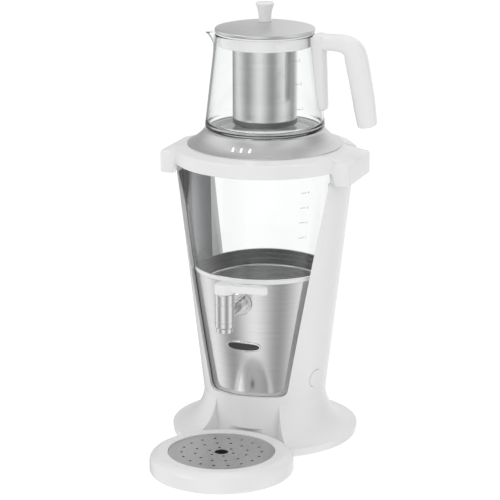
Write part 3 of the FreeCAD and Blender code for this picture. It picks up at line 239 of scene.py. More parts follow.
LAMPS = (
    ("key_panel", (-1.5, -1.7, 1.5), (0, 0, 0.25), 1.1, 9.0),
    ("fill_panel", (1.9, -1.2, 1.0), (0, 0, 0.25), 1.0, 4.0),
    ("top_panel", (0.1, 0.2, 2.2), (0, 0, 0.2), 1.2, 9.0),
)
for lamp_name, spot, aim, width, watts in LAMPS:
    lamp_data = bpy.data.lights.new(lamp_name, "AREA")
    lamp_data.size = width
    lamp_data.energy = watts
    lamp = bpy.data.objects.new(lamp_name, lamp_data)
    lamp.location = spot
    lamp.rotation_euler = (Vector(aim) - Vector(spot)).to_track_quat("-Z", "Y").to_euler()
    lamp.visible_glossy = lamp_name == "key_panel"
    bpy.context.scene.collection.objects.link(lamp)


# Rubber feet and cord gland: black rubber with a matt, lightly grained skin. The feet are pressed into
# round seats in the bottom cover, and the gland is clipped into the rear of the skirt.
def effect_group(name, inputs, build):
    """A node group with named float inputs, one vector input and one Mask output."""
    tree = bpy.data.node_groups.new(name, "ShaderNodeTree")
    tree.interface.new_socket("Vector", in_out="INPUT", socket_type="NodeSocketVector")
    for label, value in inputs:
        socket = tree.interface.new_socket(label, in_out="INPUT", socket_type="NodeSocketFloat")
        socket.default_value = value
    tree.interface.new_socket("Mask", in_out="OUTPUT", socket_type="NodeSocketFloat")
    start = tree.nodes.new("NodeGroupInput")
    end = tree.nodes.new("NodeGroupOutput")
    tree.links.new(build(tree, start), end.inputs["Mask"])
    return tree


def peel_mask(tree, start):
    """Two scales of soft noise, the coarse one three parts to one."""
    coarse = tree.nodes.new("ShaderNodeTexNoise")
    fine = tree.nodes.new("ShaderNodeTexNoise")
    fine_scale = tree.nodes.new("ShaderNodeMath")
    fine_scale.operation = "MULTIPLY"
    fine_scale.inputs[1].default_value = 6.0
    mixed = tree.nodes.new("ShaderNodeMix")
    mixed.inputs["Factor"].default_value = 0.25
    tree.links.new(start.outputs["Scale"], fine_scale.inputs[0])
    for texture, scale in ((coarse, start.outputs["Scale"]), (fine, fine_scale.outputs["Value"])):
        tree.links.new(start.outputs["Vector"], texture.inputs["Vector"])
        tree.links.new(scale, texture.inputs["Scale"])
    tree.links.new(coarse.outputs["Fac"], mixed.inputs["A"])
    tree.links.new(fine.outputs["Fac"], mixed.inputs["B"])
    return mixed.outputs["Result"]


peel = effect_group("moulding_peel", [("Scale", 180.0)], peel_mask)


def place_effect(nodes, tree, scale, vector=None):
    """One shared effect placed in a material."""
    made = nodes.add("ShaderNodeGroup", node_tree=tree)
    made.inputs["Scale"].default_value = scale
    nodes.join(vector or nodes.object_coords(), made.inputs["Vector"])
    return made.outputs["Mask"]


def soft_rubber(name, dark, light, roughness=0.55, grain_scale=420.0):
    """Matt rubber or silicone with a fine grain."""
    made = Nodes(name)
    made.set(Specular_IOR_Level=0.35)
    grain = place_effect(made, peel, grain_scale)
    made.tint(made.spread(grain, 0.0, 1.0), dark, light)
    made.join(made.spread(grain, roughness - 0.08, roughness + 0.1), made.shader.inputs["Roughness"])
    made.bump(grain, 0.35, 0.00004)
    return made.material


def dress(material, *names):
    """Give CAD nodes a finish."""
    for name in names:
        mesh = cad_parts[name].data
        mesh.materials.clear()
        mesh.materials.append(material)


black_rubber = soft_rubber("black_rubber", (0.02, 0.02, 0.02), (0.04, 0.04, 0.04))
dress(black_rubber, "rubber_feet", "cord_gland")


# Base: a flared skirt moulded in glossy white ABS, closed from below by a white cover with four screws.
# Inside it the green control board stands on four posts of the cover.
def gloss_plastic(name, dark, light, roughness=0.26, coat=0.2, peel_scale=60.0, depth=0.000008):
    """Moulded glossy plastic: colour drifts a little, gloss varies, and the skin has a faint peel."""
    made = Nodes(name)
    made.set(Coat_Weight=coat, Coat_Roughness=0.1, IOR=1.49)
    skin = place_effect(made, peel, peel_scale)
    made.tint(made.spread(made.noise(made.object_coords(), 9.0), 0.0, 1.0), dark, light)
    made.join(made.spread(skin, roughness - 0.008, roughness + 0.012), made.shader.inputs["Roughness"])
    made.bump(skin, 0.03, depth)
    return made.material


def lathe_mask(tree, start):
    """Fine rings round the Z axis: noise along radius plus height, drawn out round the axis."""
    parts = tree.nodes.new("ShaderNodeSeparateXYZ")
    across = tree.nodes.new("ShaderNodeVectorMath")
    across.operation = "LENGTH"
    flat = tree.nodes.new("ShaderNodeVectorMath")
    flat.operation = "MULTIPLY"
    flat.inputs[1].default_value = (1, 1, 0)
    total = tree.nodes.new("ShaderNodeMath")
    total.operation = "ADD"
    along = tree.nodes.new("ShaderNodeCombineXYZ")
    rings = tree.nodes.new("ShaderNodeTexNoise")
    rings.inputs["Detail"].default_value = 6.0
    rings.inputs["Roughness"].default_value = 0.7
    swing = tree.nodes.new("ShaderNodeVectorMath")
    swing.operation = "SCALE"
    swing.inputs["Scale"].default_value = 0.012
    tree.links.new(start.outputs["Vector"], flat.inputs[0])
    tree.links.new(flat.outputs["Vector"], across.inputs[0])
    tree.links.new(start.outputs["Vector"], parts.inputs["Vector"])
    tree.links.new(across.outputs["Value"], total.inputs[0])
    tree.links.new(parts.outputs["Z"], total.inputs[1])
    tree.links.new(flat.outputs["Vector"], swing.inputs[0])
    sway = tree.nodes.new("ShaderNodeSeparateXYZ")
    tree.links.new(swing.outputs["Vector"], sway.inputs["Vector"])
    tree.links.new(total.outputs["Value"], along.inputs["X"])
    tree.links.new(sway.outputs["X"], along.inputs["Y"])
    tree.links.new(sway.outputs["Y"], along.inputs["Z"])
    tree.links.new(along.outputs["Vector"], rings.inputs["Vector"])
    tree.links.new(start.outputs["Scale"], rings.inputs["Scale"])
    return rings.outputs["Fac"]


lathe_lines = effect_group("lathe_lines", [("Scale", 700.0)], lathe_mask)


def turned_metal(name, dark, light, rough_low, rough_high, scale=700.0, strength=0.15, depth=0.00001,
                 centre=(0.0, 0.0, 0.0)):
    """Metal with fine lathe or brush lines round a vertical axis through a centre."""
    made = Nodes(name)
    made.set(Metallic=1.0)
    coords = made.object_coords()
    coords.node.inputs["Location"].default_value = [-value for value in centre]
    lines = place_effect(made, lathe_lines, scale, coords)
    made.tint(made.spread(lines, 0.0, 1.0), dark, light)
    made.join(made.spread(lines, rough_low, rough_high), made.shader.inputs["Roughness"])
    made.bump(lines, strength, depth)
    return made.material


WHITE_DRIFT = ((0.80, 0.80, 0.80), (0.83, 0.83, 0.83))
white_gloss = gloss_plastic("white_gloss", *WHITE_DRIFT)
zinc_steel = turned_metal("zinc_plated_steel", (0.48, 0.48, 0.46), (0.60, 0.60, 0.57), 0.28, 0.40, 1500.0)
board_green = gloss_plastic("solder_resist", (0.01, 0.10, 0.04), (0.02, 0.16, 0.06), 0.35)
dress(white_gloss, "base_housing", "base_bottom_cover")
dress(zinc_steel, "cover_screws", "frame_screws")
dress(board_green, "control_board")

# Frame: one conical white moulding, two wide pillars joined by a ring at the foot, screwed to the
# base. The grey liner behind each pillar is painted shade: its dark grey stands in for the shade that
# falls on the pillars' inner faces.
# Painted shade: the liners' dark grey is the shade inside the pillars, not a coloured part.
painted_shade_liner = soft_rubber("painted_shade_liner", (0.16, 0.16, 0.17), (0.22, 0.22, 0.23), 0.4)
dress(white_gloss, "support_frame")
dress(painted_shade_liner, "pillar_liner_left", "pillar_liner_right")

# Collar: a white ring that caps the pillars and swells into a hollow carrying ear on each side. It is
# one moulding with soft edges, pushed down over the frame and the tank.
MM = 0.001
TAU = 2.0 * math.pi
collar_low, collar_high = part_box("top_collar")
collar_reach = collar_high[0]
collar_crown = collar_high[2]
ear_foot = collar_low[2]
collar_radius = collar_high[1]
ring_seat_radius = 86.5 * MM
collar_wall = 3.0 * MM
collar_foot = 317.6 * MM
collar_edge_height = 331.6 * MM
ear_edge_height = 326.5 * MM
ear_half_width = 41.6 * MM
collar_round = 2.6 * MM
collar_foot_round = 1.2 * MM
shelf_drop = 2.0 * MM
collar_lap = 4.0 * MM


def ear_plan(angles):
    """Outer radius of the collar in plan: the ring's circle or, where it reaches further out, a rounded
    rectangle across the machine, the two joined by a soft maximum."""
    across, ahead = np.abs(np.cos(angles)), np.abs(np.sin(angles))
    power = 22.0
    block = ((across / collar_reach) ** power + (ahead / ear_half_width) ** power) ** (-1.0 / power)
    sharpness = 46.0
    scaled = np.stack([np.full_like(angles, collar_radius), block]) / collar_radius
    joined = np.log(np.exp(sharpness * scaled).sum(0)) / sharpness * collar_radius
    return np.minimum(joined, np.maximum(block, collar_radius) + 0.9 * MM)


def soft_step(values, start, end):
    """Rises from 0 to 1 between start and end with level ends."""
    t = np.clip((values - start) / (end - start), 0.0, 1.0)
    return t * t * (3.0 - 2.0 * t)


collar_angles = np.linspace(0.0, TAU, 720, endpoint=False)
side_share = np.maximum(np.abs(np.cos(collar_angles)), 0.1)
collar_plan = np.minimum(ear_plan(collar_angles), collar_reach / side_share)
ear_share = soft_step(collar_plan, collar_radius + 0.8 * MM, collar_radius + 4.5 * MM)
edge_height = collar_edge_height + (ear_edge_height - collar_edge_height) * ear_share
foot_height = collar_foot + (ear_foot - collar_foot) * ear_share
corner_turn = np.linspace(0.0, math.pi / 2, 6)
top_fall = collar_crown - edge_height


def level(value):
    """The same value all round the collar."""
    return np.full_like(collar_angles, value)


collar_rows = [
    (level(ring_seat_radius - collar_lap), level(collar_crown - collar_wall)),
    (level(ring_seat_radius - collar_lap), level(collar_crown)),
    (level(ring_seat_radius), level(collar_crown)),
    (level(ring_seat_radius + 5 * MM), collar_crown - 0.24 * top_fall),
]
for angle in corner_turn:
    collar_rows.append((collar_plan - collar_round * (1 - math.sin(angle)),
                        edge_height + collar_round * (math.cos(angle) - 0.35)))
for angle in corner_turn:
    collar_rows.append((collar_plan - collar_foot_round * (1 - math.cos(angle)),
                        foot_height + collar_foot_round * (1 - math.sin(angle))))
hollow_wall = collar_plan - collar_wall
shelf = np.where(ear_share > 0.5, edge_height - collar_wall - shelf_drop,
                 collar_edge_height - shelf_drop)
hollow_inner = np.minimum(hollow_wall, collar_radius - collar_wall)
collar_rows += [
    (hollow_wall, foot_height),
    (hollow_wall, shelf),
    (np.maximum(hollow_inner, np.where(ear_share > 0.5, collar_radius, 0.0)), shelf),
    (np.where(ear_share > 0.5, collar_radius, hollow_inner), foot_height),
    (np.where(ear_share > 0.5, collar_radius - collar_foot_round, hollow_inner), foot_height),
    (hollow_inner, level(collar_edge_height - shelf_drop)),
]
collar_grid = np.stack([np.stack([radius * np.cos(collar_angles), radius * np.sin(collar_angles), height], -1)
                        for radius, height in collar_rows])
collar = grid_piece("collar_moulding", collar_grid, wrap_rows=True, wrap_columns=True, crease=40.0)
collar.data.materials.append(white_gloss)
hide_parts("top_collar")
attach(collar, "machine")


# Warming ring: satin aluminium spun into a concave cone. It sits on the collar's crown, its flat top
# carries the teapot, and a black gasket lines its mouth. Three lit lenses shine through its front.
def soft_outline(corners, closed=True, steps=6):
    """Points of an outline whose corners are (radius, height) or, where a corner is rounded,
    (radius, height, round). A round corner is an arc that touches both of its sides."""
    points = []
    count = len(corners)
    for k, corner in enumerate(corners):
        here = np.array(corner[:2], float)
        if len(corner) == 2 or (not closed and k in (0, count - 1)):
            points.append(here)
            continue
        before = np.array(corners[k - 1][:2], float) - here
        after = np.array(corners[(k + 1) % count][:2], float) - here
        long_before, long_after = np.linalg.norm(before), np.linalg.norm(after)
        before, after = before / long_before, after / long_after
        half = math.acos(float(np.clip(before @ after, -1.0, 1.0))) / 2
        reach = min(corner[2] / math.tan(half), 0.49 * long_before, 0.49 * long_after)
        radius = reach * math.tan(half)
        centre = here + (before + after) / np.linalg.norm(before + after) * radius / math.sin(half)
        first, last = here + before * reach - centre, here + after * reach - centre
        turn_angle = math.atan2(first[0] * last[1] - first[1] * last[0], first @ last)
        for part in np.linspace(0.0, 1.0, steps):
            c, s = math.cos(turn_angle * part), math.sin(turn_angle * part)
            points.append(centre + np.array([c * first[0] - s * first[1], s * first[0] + c * first[1]]))
    return np.array(points) * MM


def turned_piece(name, corners, body, replaced, material, centre=(0.0, 0.0), closed=True,
                 columns=192, crease=35.0):
    """A soft outline in millimetres turned round a vertical axis. A closed outline gives a ring, and an
    open one that starts and ends on the axis gives a solid round piece."""
    outline = corners if isinstance(corners, np.ndarray) else soft_outline(corners, closed)
    angles = np.linspace(0.0, TAU, columns, endpoint=False)
    radius, height = outline[:, :1], outline[:, 1:]
    points = np.stack([centre[0] + radius * np.cos(angles), centre[1] + radius * np.sin(angles),
                       np.broadcast_to(height, (len(outline), columns))], -1)
    piece = grid_piece(name, points, wrap_rows=closed, wrap_columns=True, crease=crease)
    piece.data.materials.append(material)
    if replaced:
        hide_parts(replaced)
    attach(piece, body)
    return piece


def sagging(start, end, radius, steps=16):
    """Points on an arc from start to end, both included, that turns right round its centre; with a
    negative radius it turns left."""
    start, end = np.array(start, float), np.array(end, float)
    chord = end - start
    length = np.linalg.norm(chord)
    left = np.array([-chord[1], chord[0]]) / length
    rise = math.sqrt(radius ** 2 - (length / 2) ** 2)
    centre = (start + end) / 2 - left * math.copysign(rise, radius)
    first, last = start - centre, end - centre
    turned = math.atan2(first[0] * last[1] - first[1] * last[0], first @ last)
    spots = []
    for part in np.linspace(0.0, 1.0, steps):
        c, s = math.cos(turned * part), math.sin(turned * part)
        spots.append(tuple(centre + np.array([c * first[0] - s * first[1], s * first[0] + c * first[1]])))
    return spots


ring_low_height = 336.4
ring_top_height = 353.5
ring_outer = 86.5
ring_shoulder = 67.0
ring_mouth = 56.0
satin_alloy = turned_metal("satin_warming_alloy", (0.72, 0.72, 0.72), (0.80, 0.80, 0.80), 0.30, 0.38, 1500.0)
ring_slope = sagging((ring_outer, ring_low_height + 1.0), (ring_shoulder, ring_top_height), 52.8)
turned_piece("warming_ring_spun", [
    (ring_outer - 3.0, ring_low_height),
    (ring_outer, ring_low_height, 0.3),
    *ring_slope[:-1],
    (ring_shoulder, ring_top_height, 2.0),
    (ring_mouth, ring_top_height, 0.5),
    (ring_mouth, ring_top_height - 1.5),
    (ring_shoulder - 1.0, ring_top_height - 1.5),
], "machine", "warming_ring", satin_alloy, columns=256)

black_gasket = soft_rubber("black_gasket", (0.03, 0.03, 0.03), (0.06, 0.06, 0.06), 0.45)
lamp_white = Nodes("lit_lens")
lamp_white.set(Emission_Color=(1, 1, 1, 1), Emission_Strength=0.9, Roughness=0.3)
lamp_white.tint(lamp_white.spread(lamp_white.noise(lamp_white.object_coords(), 800.0), 0, 1),
                (0.9, 0.9, 0.9), (1, 1, 1))
dress(black_gasket, "steam_gasket")
dress(board_green, "lamp_board")
dress(lamp_white.material, "lamp_lenses")

# Tank: a conical borosilicate glass, open above and below, that rests on a white rim ring. Grey printed
# graduations on it, with plain numbers, show the water level.
def clear_glass(name, tint=(0.985, 0.995, 0.995), roughness_high=0.01):
    """Clear borosilicate glass with the faintest waviness. It casts no shadow on what stands in it."""
    made = Nodes(name)
    made.set(Transmission_Weight=1.0, IOR=1.47, Base_Color=(*tint, 1))
    wave = made.noise(made.object_coords(), 22.0, 1.0)
    made.join(made.spread(wave, 0.0, roughness_high), made.shader.inputs["Roughness"])
    made.bump(wave, 0.06, 0.0004)
    light_rays = made.add("ShaderNodeLightPath")
    let_through = made.add("ShaderNodeMath", operation="MAXIMUM")
    gap = made.add("ShaderNodeBsdfTransparent")
    mixed = made.add("ShaderNodeMixShader")
    made.join(light_rays.outputs["Is Shadow Ray"], let_through.inputs[0])
    made.join(light_rays.outputs["Is Diffuse Ray"], let_through.inputs[1])
    made.join(let_through.outputs["Value"], mixed.inputs["Fac"])
    made.join(made.shader.outputs["BSDF"], mixed.inputs[1])
    made.join(gap.outputs["BSDF"], mixed.inputs[2])
    made.join(mixed.outputs["Shader"], made.output.inputs["Surface"])
    return made.material


def printed_marks(name, heights, wall_radius, centre_angle, body, line_width=7.0, digits=True, first=1):
    """Level lines with plain numbers beside them, laid on a cone. A flat mark at (across, up) goes to the
    angle centre_angle + across / radius and to its own height on the glass, a hair outside it."""
    flat_meshes = []
    for k, height in enumerate(heights):
        half_line = 0.28
        bar = bpy.data.meshes.new(f"{name}_bar{k}")
        steps = np.linspace(-line_width / 2, line_width / 2, 8)
        top = np.stack([steps, np.full_like(steps, half_line), np.zeros_like(steps)], -1)
        low = top * (1, -1, 1)
        count = len(steps)
        bar.from_pydata(np.concatenate([low, top]).tolist(), [],
                        [(i, i + 1, count + i + 1, count + i) for i in range(count - 1)])
        flat_meshes.append((bar, height))
        if digits:
            words = bpy.data.curves.new(f"{name}_digit{k}", "FONT")
            words.body = str(first + k)
            words.size = 4.6
            words.align_x, words.align_y = "LEFT", "CENTER"
            words.resolution_u = 3
            words.offset_x = line_width / 2 + 1.2
            holder = bpy.data.objects.new(words.name, words)
            bpy.context.scene.collection.objects.link(holder)
            bpy.context.view_layer.update()
            shape = bpy.data.meshes.new_from_object(holder.evaluated_get(
                bpy.context.evaluated_depsgraph_get()))
            bpy.data.objects.remove(holder)
            bpy.data.curves.remove(words)
            flat_meshes.append((shape, height))
    joined = bmesh.new()
    for flat, height in flat_meshes:
        spots = np.empty(len(flat.vertices) * 3)
        flat.vertices.foreach_get("co", spots)
        spots = spots.reshape(-1, 3)
        up = height + spots[:, 1]
        radius = wall_radius(up) + 0.04
        angle = centre_angle + spots[:, 0] / radius
        bent = np.stack([radius * np.sin(angle), -radius * np.cos(angle), up], -1) * MM
        flat.vertices.foreach_set("co", bent.ravel())
        joined.from_mesh(flat)
        bpy.data.meshes.remove(flat)
    mesh = bpy.data.meshes.new(name)
    joined.to_mesh(mesh)
    joined.free()
    piece = bpy.data.objects.new(name, mesh)
    bpy.context.scene.collection.objects.link(piece)
    piece.data.materials.append(print_grey)
    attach(piece, body)
    return piece


frame_foot_radius = 69.0
frame_foot_height = 52.0
frame_taper = 0.1153
tank_inset = 5.5
tank_wall = 3.0
tank_low_height = 200.0
tank_high_height = 326.0


def cone_radius(height):
    """Outer radius of the frame's cone at a height, in millimetres."""
    return frame_foot_radius + frame_taper * (height - frame_foot_height)


glass = clear_glass("clear_glass")
tank_out_low = cone_radius(tank_low_height) - tank_inset
tank_out_high = cone_radius(tank_high_height) - tank_inset
turned_piece("tank_glass_cone", [
    (tank_out_low - tank_wall, tank_low_height, 0.8),
    (tank_out_low, tank_low_height, 0.8),
    (tank_out_high, tank_high_height, 0.8),
    (tank_out_high - tank_wall, tank_high_height, 0.8),
], "machine", "glass_tank", glass, columns=256)
print_grey = soft_rubber("printed_grey", (0.30, 0.30, 0.31), (0.36, 0.36, 0.37), 0.5)
TANK_MARK_HEIGHTS = (247.5, 265.0, 282.0, 299.0)
printed_marks("tank_graduations", TANK_MARK_HEIGHTS, lambda z: cone_radius(z) - tank_inset,
              math.radians(47.0), "machine")

rim_low_height = 195.0
rim_out = cone_radius(rim_low_height) - 5.3
rim_in = tank_out_low - tank_wall
turned_piece("tank_rim_moulding", [
    (rim_in, rim_low_height, 0.5),
    (rim_out, rim_low_height, 0.8),
    (rim_out, tank_low_height, 1.2),
    (rim_in, tank_low_height, 0.5),
], "machine", "tank_rim_ring", white_gloss)
grey_seal = soft_rubber("grey_silicone", (0.15, 0.15, 0.155), (0.22, 0.22, 0.225))
pale_seal = soft_rubber("pale_silicone", (0.50, 0.50, 0.50), (0.56, 0.56, 0.56))
dress(grey_seal, "tank_seal", "tap_washer")
dress(pale_seal, "tank_top_gasket", "lid_seal")

# Boiler: a drawn steel pot with a rolled rim, in a brushed steel jacket with a blank oval plate at its
# front. The aluminium heater plate is brazed under the pot with its tubular element and thermostats.
jacket_inset = 5.6
jacket_low_height = 52.0
steel_lines = turned_metal("brushed_steel_jacket", (0.76, 0.76, 0.76), (0.86, 0.86, 0.855), 0.12, 0.20, 1300.0)
jacket_out_low = cone_radius(jacket_low_height) - jacket_inset
jacket_out_high = cone_radius(rim_low_height) - jacket_inset
turned_piece("jacket_sheet", [
    (jacket_out_low - 1.0, jacket_low_height),
    (jacket_out_low, jacket_low_height, 0.3),
    (jacket_out_high, rim_low_height, 0.3),
    (jacket_out_high - 1.0, rim_low_height),
], "machine", "steel_jacket", steel_lines, columns=256)

plate_height = 120.4
plate_half_width = 20.3
plate_half_height = 6.0
plate_border = 1.8
plate_proud = 1.0


def oval_plate(name, half_width, half_height, back, front, material, power=2.6):
    """A shallow pad with a superellipse outline, bent round the jacket. Rows run from the back's rim over
    a rounded edge to the middle of the front, each ring a smaller copy of the outline."""
    turns = np.linspace(0.0, TAU, 96, endpoint=False)
    outline_x = np.sign(np.cos(turns)) * np.abs(np.cos(turns)) ** (2 / power) * half_width
    outline_z = np.sign(np.sin(turns)) * np.abs(np.sin(turns)) ** (2 / power) * half_height
    edge = np.linspace(0.0, math.pi / 2, 6)
    insets = np.concatenate([[1.0, 0.0], (front - back) * 0.5 * (1 - np.cos(edge)), [half_height * 0.6]])
    depths = np.concatenate([[back, back], back + (front - back) * (0.5 + 0.5 * np.sin(edge)), [front]])
    rows = []
    for inset, depth in zip(insets, depths):
        across = outline_x * (1 - inset / half_width)
        up = plate_height + outline_z * (1 - inset / half_height)
        radius = cone_radius(up) - jacket_inset + depth
        angle = across / radius
        rows.append(np.stack([radius * np.sin(angle), -radius * np.cos(angle), up], -1))
    middle = np.array([[0.0, -(cone_radius(plate_height) - jacket_inset + front), plate_height]])
    rows.append(np.repeat(middle, len(turns), 0))
    back_middle = np.array([[0.0, -(cone_radius(plate_height) - jacket_inset + back), plate_height]])
    rows.insert(0, np.repeat(back_middle, len(turns), 0))
    piece = grid_piece(name, np.stack(rows) * MM, wrap_columns=True)
    piece.data.materials.append(material)
    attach(piece, "machine")
    return piece


tap_reach = 128.6
chrome = turned_metal("tap_chrome", (0.80, 0.80, 0.80), (0.86, 0.86, 0.86), 0.03, 0.06, 400.0, 0.03,
                      centre=(0.0, -tap_reach * MM, 0.0))
plate_lacquer = gloss_plastic("plate_lacquer", (0.030, 0.030, 0.032), (0.045, 0.045, 0.048), 0.3)
oval_plate("blank_plate_rim", plate_half_width, plate_half_height, 0.02, plate_proud, chrome)
oval_plate("blank_plate_face", plate_half_width - plate_border, plate_half_height - plate_border,
           0.3, plate_proud + 0.25, plate_lacquer)

pot_steel = turned_metal("drawn_pot_steel", (0.88, 0.88, 0.88), (0.93, 0.93, 0.93), 0.24, 0.34, 900.0)
pot_foot = 57.0
pot_side = 61.9
pot_low_height = 72.0
pot_rim_height = 187.0
turned_piece("boiler_pot_drawn", [
    (0.0, pot_low_height),
    (pot_foot, pot_low_height, 3.0),
    (pot_side - 1.0, pot_rim_height - 1.0, 0.6),
    (pot_side + 4.0, pot_rim_height - 1.0, 0.4),
    (pot_side + 4.0, pot_rim_height, 0.4),
    (pot_side + 0.9, pot_rim_height, 0.3),
    (pot_side + 0.9, pot_rim_height + 2.2, 1.3),
    (pot_side - 2.0, pot_rim_height + 2.2, 1.3),
    (pot_side - 2.0, pot_rim_height - 1.0, 0.4),
    (pot_foot - 1.0, pot_low_height + 1.0, 3.0),
    (0.0, pot_low_height + 1.0),
], "machine", "boiler_pot", pot_steel, closed=False, columns=256)
dress(zinc_steel, "heater_plate", "heating_element", "lid_screw")
dress(black_gasket, "thermostats")

# Tap: a polished chrome barrel on a neck that is screwed through jacket and pot, with a flange outside
# and a nut within. A white lever on its plug turns a quarter turn over the barrel.
barrel = 10.7
outlet_bore = 5.0
plug_bore = 8.3
plug_seat_height = 165.2
barrel_low_height = 154.0
barrel_high_height = 197.7
groove_depth = 0.35
GROOVE_HEIGHTS = (186.0, 166.0)
barrel_wall = [(barrel - 1.5, barrel_low_height, 0.8), (barrel - 1.5, barrel_low_height + 5.0, 0.6),
               (barrel, barrel_low_height + 6.5, 0.6)]
for groove in sorted(GROOVE_HEIGHTS):
    barrel_wall += [(barrel, groove - 0.5, 0.1), (barrel - groove_depth, groove - 0.25),
                    (barrel - groove_depth, groove + 0.25), (barrel, groove + 0.5, 0.1)]
turned_piece("tap_barrel", [
    (outlet_bore, barrel_low_height, 0.5),
    *barrel_wall,
    (barrel, barrel_high_height, 1.0),
    (plug_bore, barrel_high_height),
    (plug_bore, plug_seat_height),
    (outlet_bore, plug_seat_height),
], "machine", "tap_body", chrome, centre=(0.0, -tap_reach * MM), columns=128)
tap_height = 172.0
neck_outer = 7.0
neck_bore = 4.0
neck_start = -tap_reach + barrel - 0.6
neck_end = -47.9
neck_turns = np.linspace(0.0, TAU, 96, endpoint=False)[:, None]
neck_outline = soft_outline([(neck_outer, neck_start), (neck_outer, neck_end, 0.6),
                             (neck_bore, neck_end, 0.4), (neck_bore, neck_start)])
tap_neck = grid_piece("tap_neck", np.stack([
    neck_outline[:, 0] * np.cos(neck_turns),
    np.broadcast_to(neck_outline[:, 1], (len(neck_turns), len(neck_outline))),
    tap_height * MM + neck_outline[:, 0] * np.sin(neck_turns)], -1), wrap_rows=True, wrap_columns=True)
tap_neck.data.materials.append(chrome)
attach(tap_neck, "machine")
white_lever = gloss_plastic("white_lever", *WHITE_DRIFT, 0.22)
dress(chrome, "tap_flange", "tap_plug", "tap_nut")
dress(white_lever, "tap_lever")

# Power button: a white disc set flush in the right pillar over a dome switch on its own small board.
dress(white_gloss, "power_button")
dress(board_green, "button_switch")

# Drip tray: a round white moulding that slides under the skirt, with a brushed steel plate let into it.
# The plate is pierced by three rings of drain holes and a finger hole.
tray_centre = (0.0, -140.4 * MM)
tray_out = 78.8
tray_high = 22.0
plate_seat = 58.8
plate_seat_height = 19.2
tray_floor = 2.5
turned_piece("tray_moulding", [
    (0.0, 0.0),
    (tray_out, 0.0, 3.5),
    (tray_out, tray_high - 5.0, 9.0),
    (tray_out - 9.0, tray_high, 6.0),
    (plate_seat, tray_high, 0.6),
    (plate_seat, plate_seat_height, 0.2),
    (plate_seat - 3.0, plate_seat_height, 0.4),
    (plate_seat - 3.0, tray_floor, 2.0),
    (0.0, tray_floor),
], "tray", "drip_tray", white_gloss, centre=tray_centre, closed=False, columns=256)
plate_steel = turned_metal("drip_plate_steel", (0.50, 0.50, 0.50), (0.62, 0.62, 0.615), 0.26, 0.36, 1300.0,
                           centre=(*tray_centre, 0.0))
dress(plate_steel, "drip_plate")

# Teapot: blown borosilicate glass with a lip drawn out of its rim, and the moulded white handle that
# is clamped against it. The glass is one wall, worked out outside and inside together.
belly = 67.0
neck = 54.7
teapot_foot = 353.8
teapot_mouth = 460.0
teapot_wall = 2.5
spout_tip = 70.5
glass_outline = soft_outline([
    (0.0, teapot_foot),
    (belly, teapot_foot, 4.5),
    (neck, teapot_mouth, 1.2),
    (neck - teapot_wall, teapot_mouth, 1.2),
    (belly - teapot_wall, teapot_foot + 3.0, 6.0),
    (0.0, teapot_foot + 3.0),
], closed=False) / MM


def wall_rows(outline, longest):
    """The outline with more points on its long runs, none longer than a given length."""
    spots = [outline[0]]
    for start, end in zip(outline[:-1], outline[1:]):
        pieces = max(1, int(np.ceil(np.linalg.norm(end - start) / longest)))
        spots += [start + (end - start) * k / pieces for k in range(1, pieces + 1)]
    return np.array(spots)


glass_rows = wall_rows(glass_outline, 3.0)
glass_angles = np.linspace(0.0, TAU, 288, endpoint=False)
lip_away = np.angle(np.exp(1j * (glass_angles - math.pi)))
glass_radius = np.repeat(glass_rows[:, :1], len(glass_angles), 1)
glass_height = np.repeat(glass_rows[:, 1:], len(glass_angles), 1)
lip_foot = 437.0
lip_rise = np.clip((glass_height - lip_foot) / (teapot_mouth - lip_foot), 0.0, 1.0) ** 1.7
lip_width = 0.26 - 0.13 * lip_rise
lip_share = lip_rise * np.exp(-(lip_away / lip_width) ** 2) * (glass_radius > neck - 6.0)
glass_radius = glass_radius + (spout_tip - neck - 0.3) * lip_share
glass_height = glass_height - 2.5 * lip_share
glass_points = np.stack([glass_radius * np.cos(glass_angles), glass_radius * np.sin(glass_angles),
                         glass_height], -1) * MM
teapot_glass = grid_piece("teapot_blown_glass", glass_points, wrap_columns=True, crease=60.0)
teapot_glass.data.materials.append(glass)
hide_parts("teapot_glass")
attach(teapot_glass, "teapot")


def teapot_radius(height):
    """Outer radius of the teapot's glass at a height, in millimetres."""
    return neck + (belly - neck) * (teapot_mouth - height) / (teapot_mouth - teapot_foot - 3.2)


TEAPOT_MARK_HEIGHTS = (385.0, 412.4, 437.0)
printed_marks("teapot_graduations", TEAPOT_MARK_HEIGHTS, teapot_radius, math.radians(55.0), "teapot", 6.0)

# Handle: one white moulding. The bar leaves the strap level, turns down at a soft elbow and becomes the
# leaning grip, thicker at its thumb rest. Each station is (across, height, half depth, half width).
HANDLE_STATIONS = np.array([
    (62.0, 454.0, 8.8, 9.4),
    (84.0, 454.2, 9.2, 9.6),
    (95.6, 452.0, 10.2, 9.8),
    (102.8, 446.0, 11.4, 9.9),
    (106.2, 434.5, 12.3, 9.9),
    (109.6, 418.0, 12.0, 9.9),
    (112.9, 401.0, 11.9, 9.9),
    (115.8, 384.0, 11.5, 9.9),
    (118.5, 368.0, 10.4, 9.7),
])


def smooth_path(stations, steps):
    """A Catmull-Rom curve through the stations: each span is the cubic whose end slopes are half the
    difference of the neighbouring stations."""
    padded = np.concatenate([[2 * stations[0] - stations[1]], stations, [2 * stations[-1] - stations[-2]]])
    t = np.linspace(0.0, 1.0, steps, endpoint=False)[:, None]
    spans = []
    for before, start, end, after in zip(padded[:-3], padded[1:-2], padded[2:-1], padded[3:]):
        slope_start, slope_end = (end - before) / 2, (after - start) / 2
        spans.append((2 * t ** 3 - 3 * t ** 2 + 1) * start + (t ** 3 - 2 * t ** 2 + t) * slope_start
                     + (3 * t ** 2 - 2 * t ** 3) * end + (t ** 3 - t ** 2) * slope_end)
    return np.concatenate(spans + [stations[-1:]])


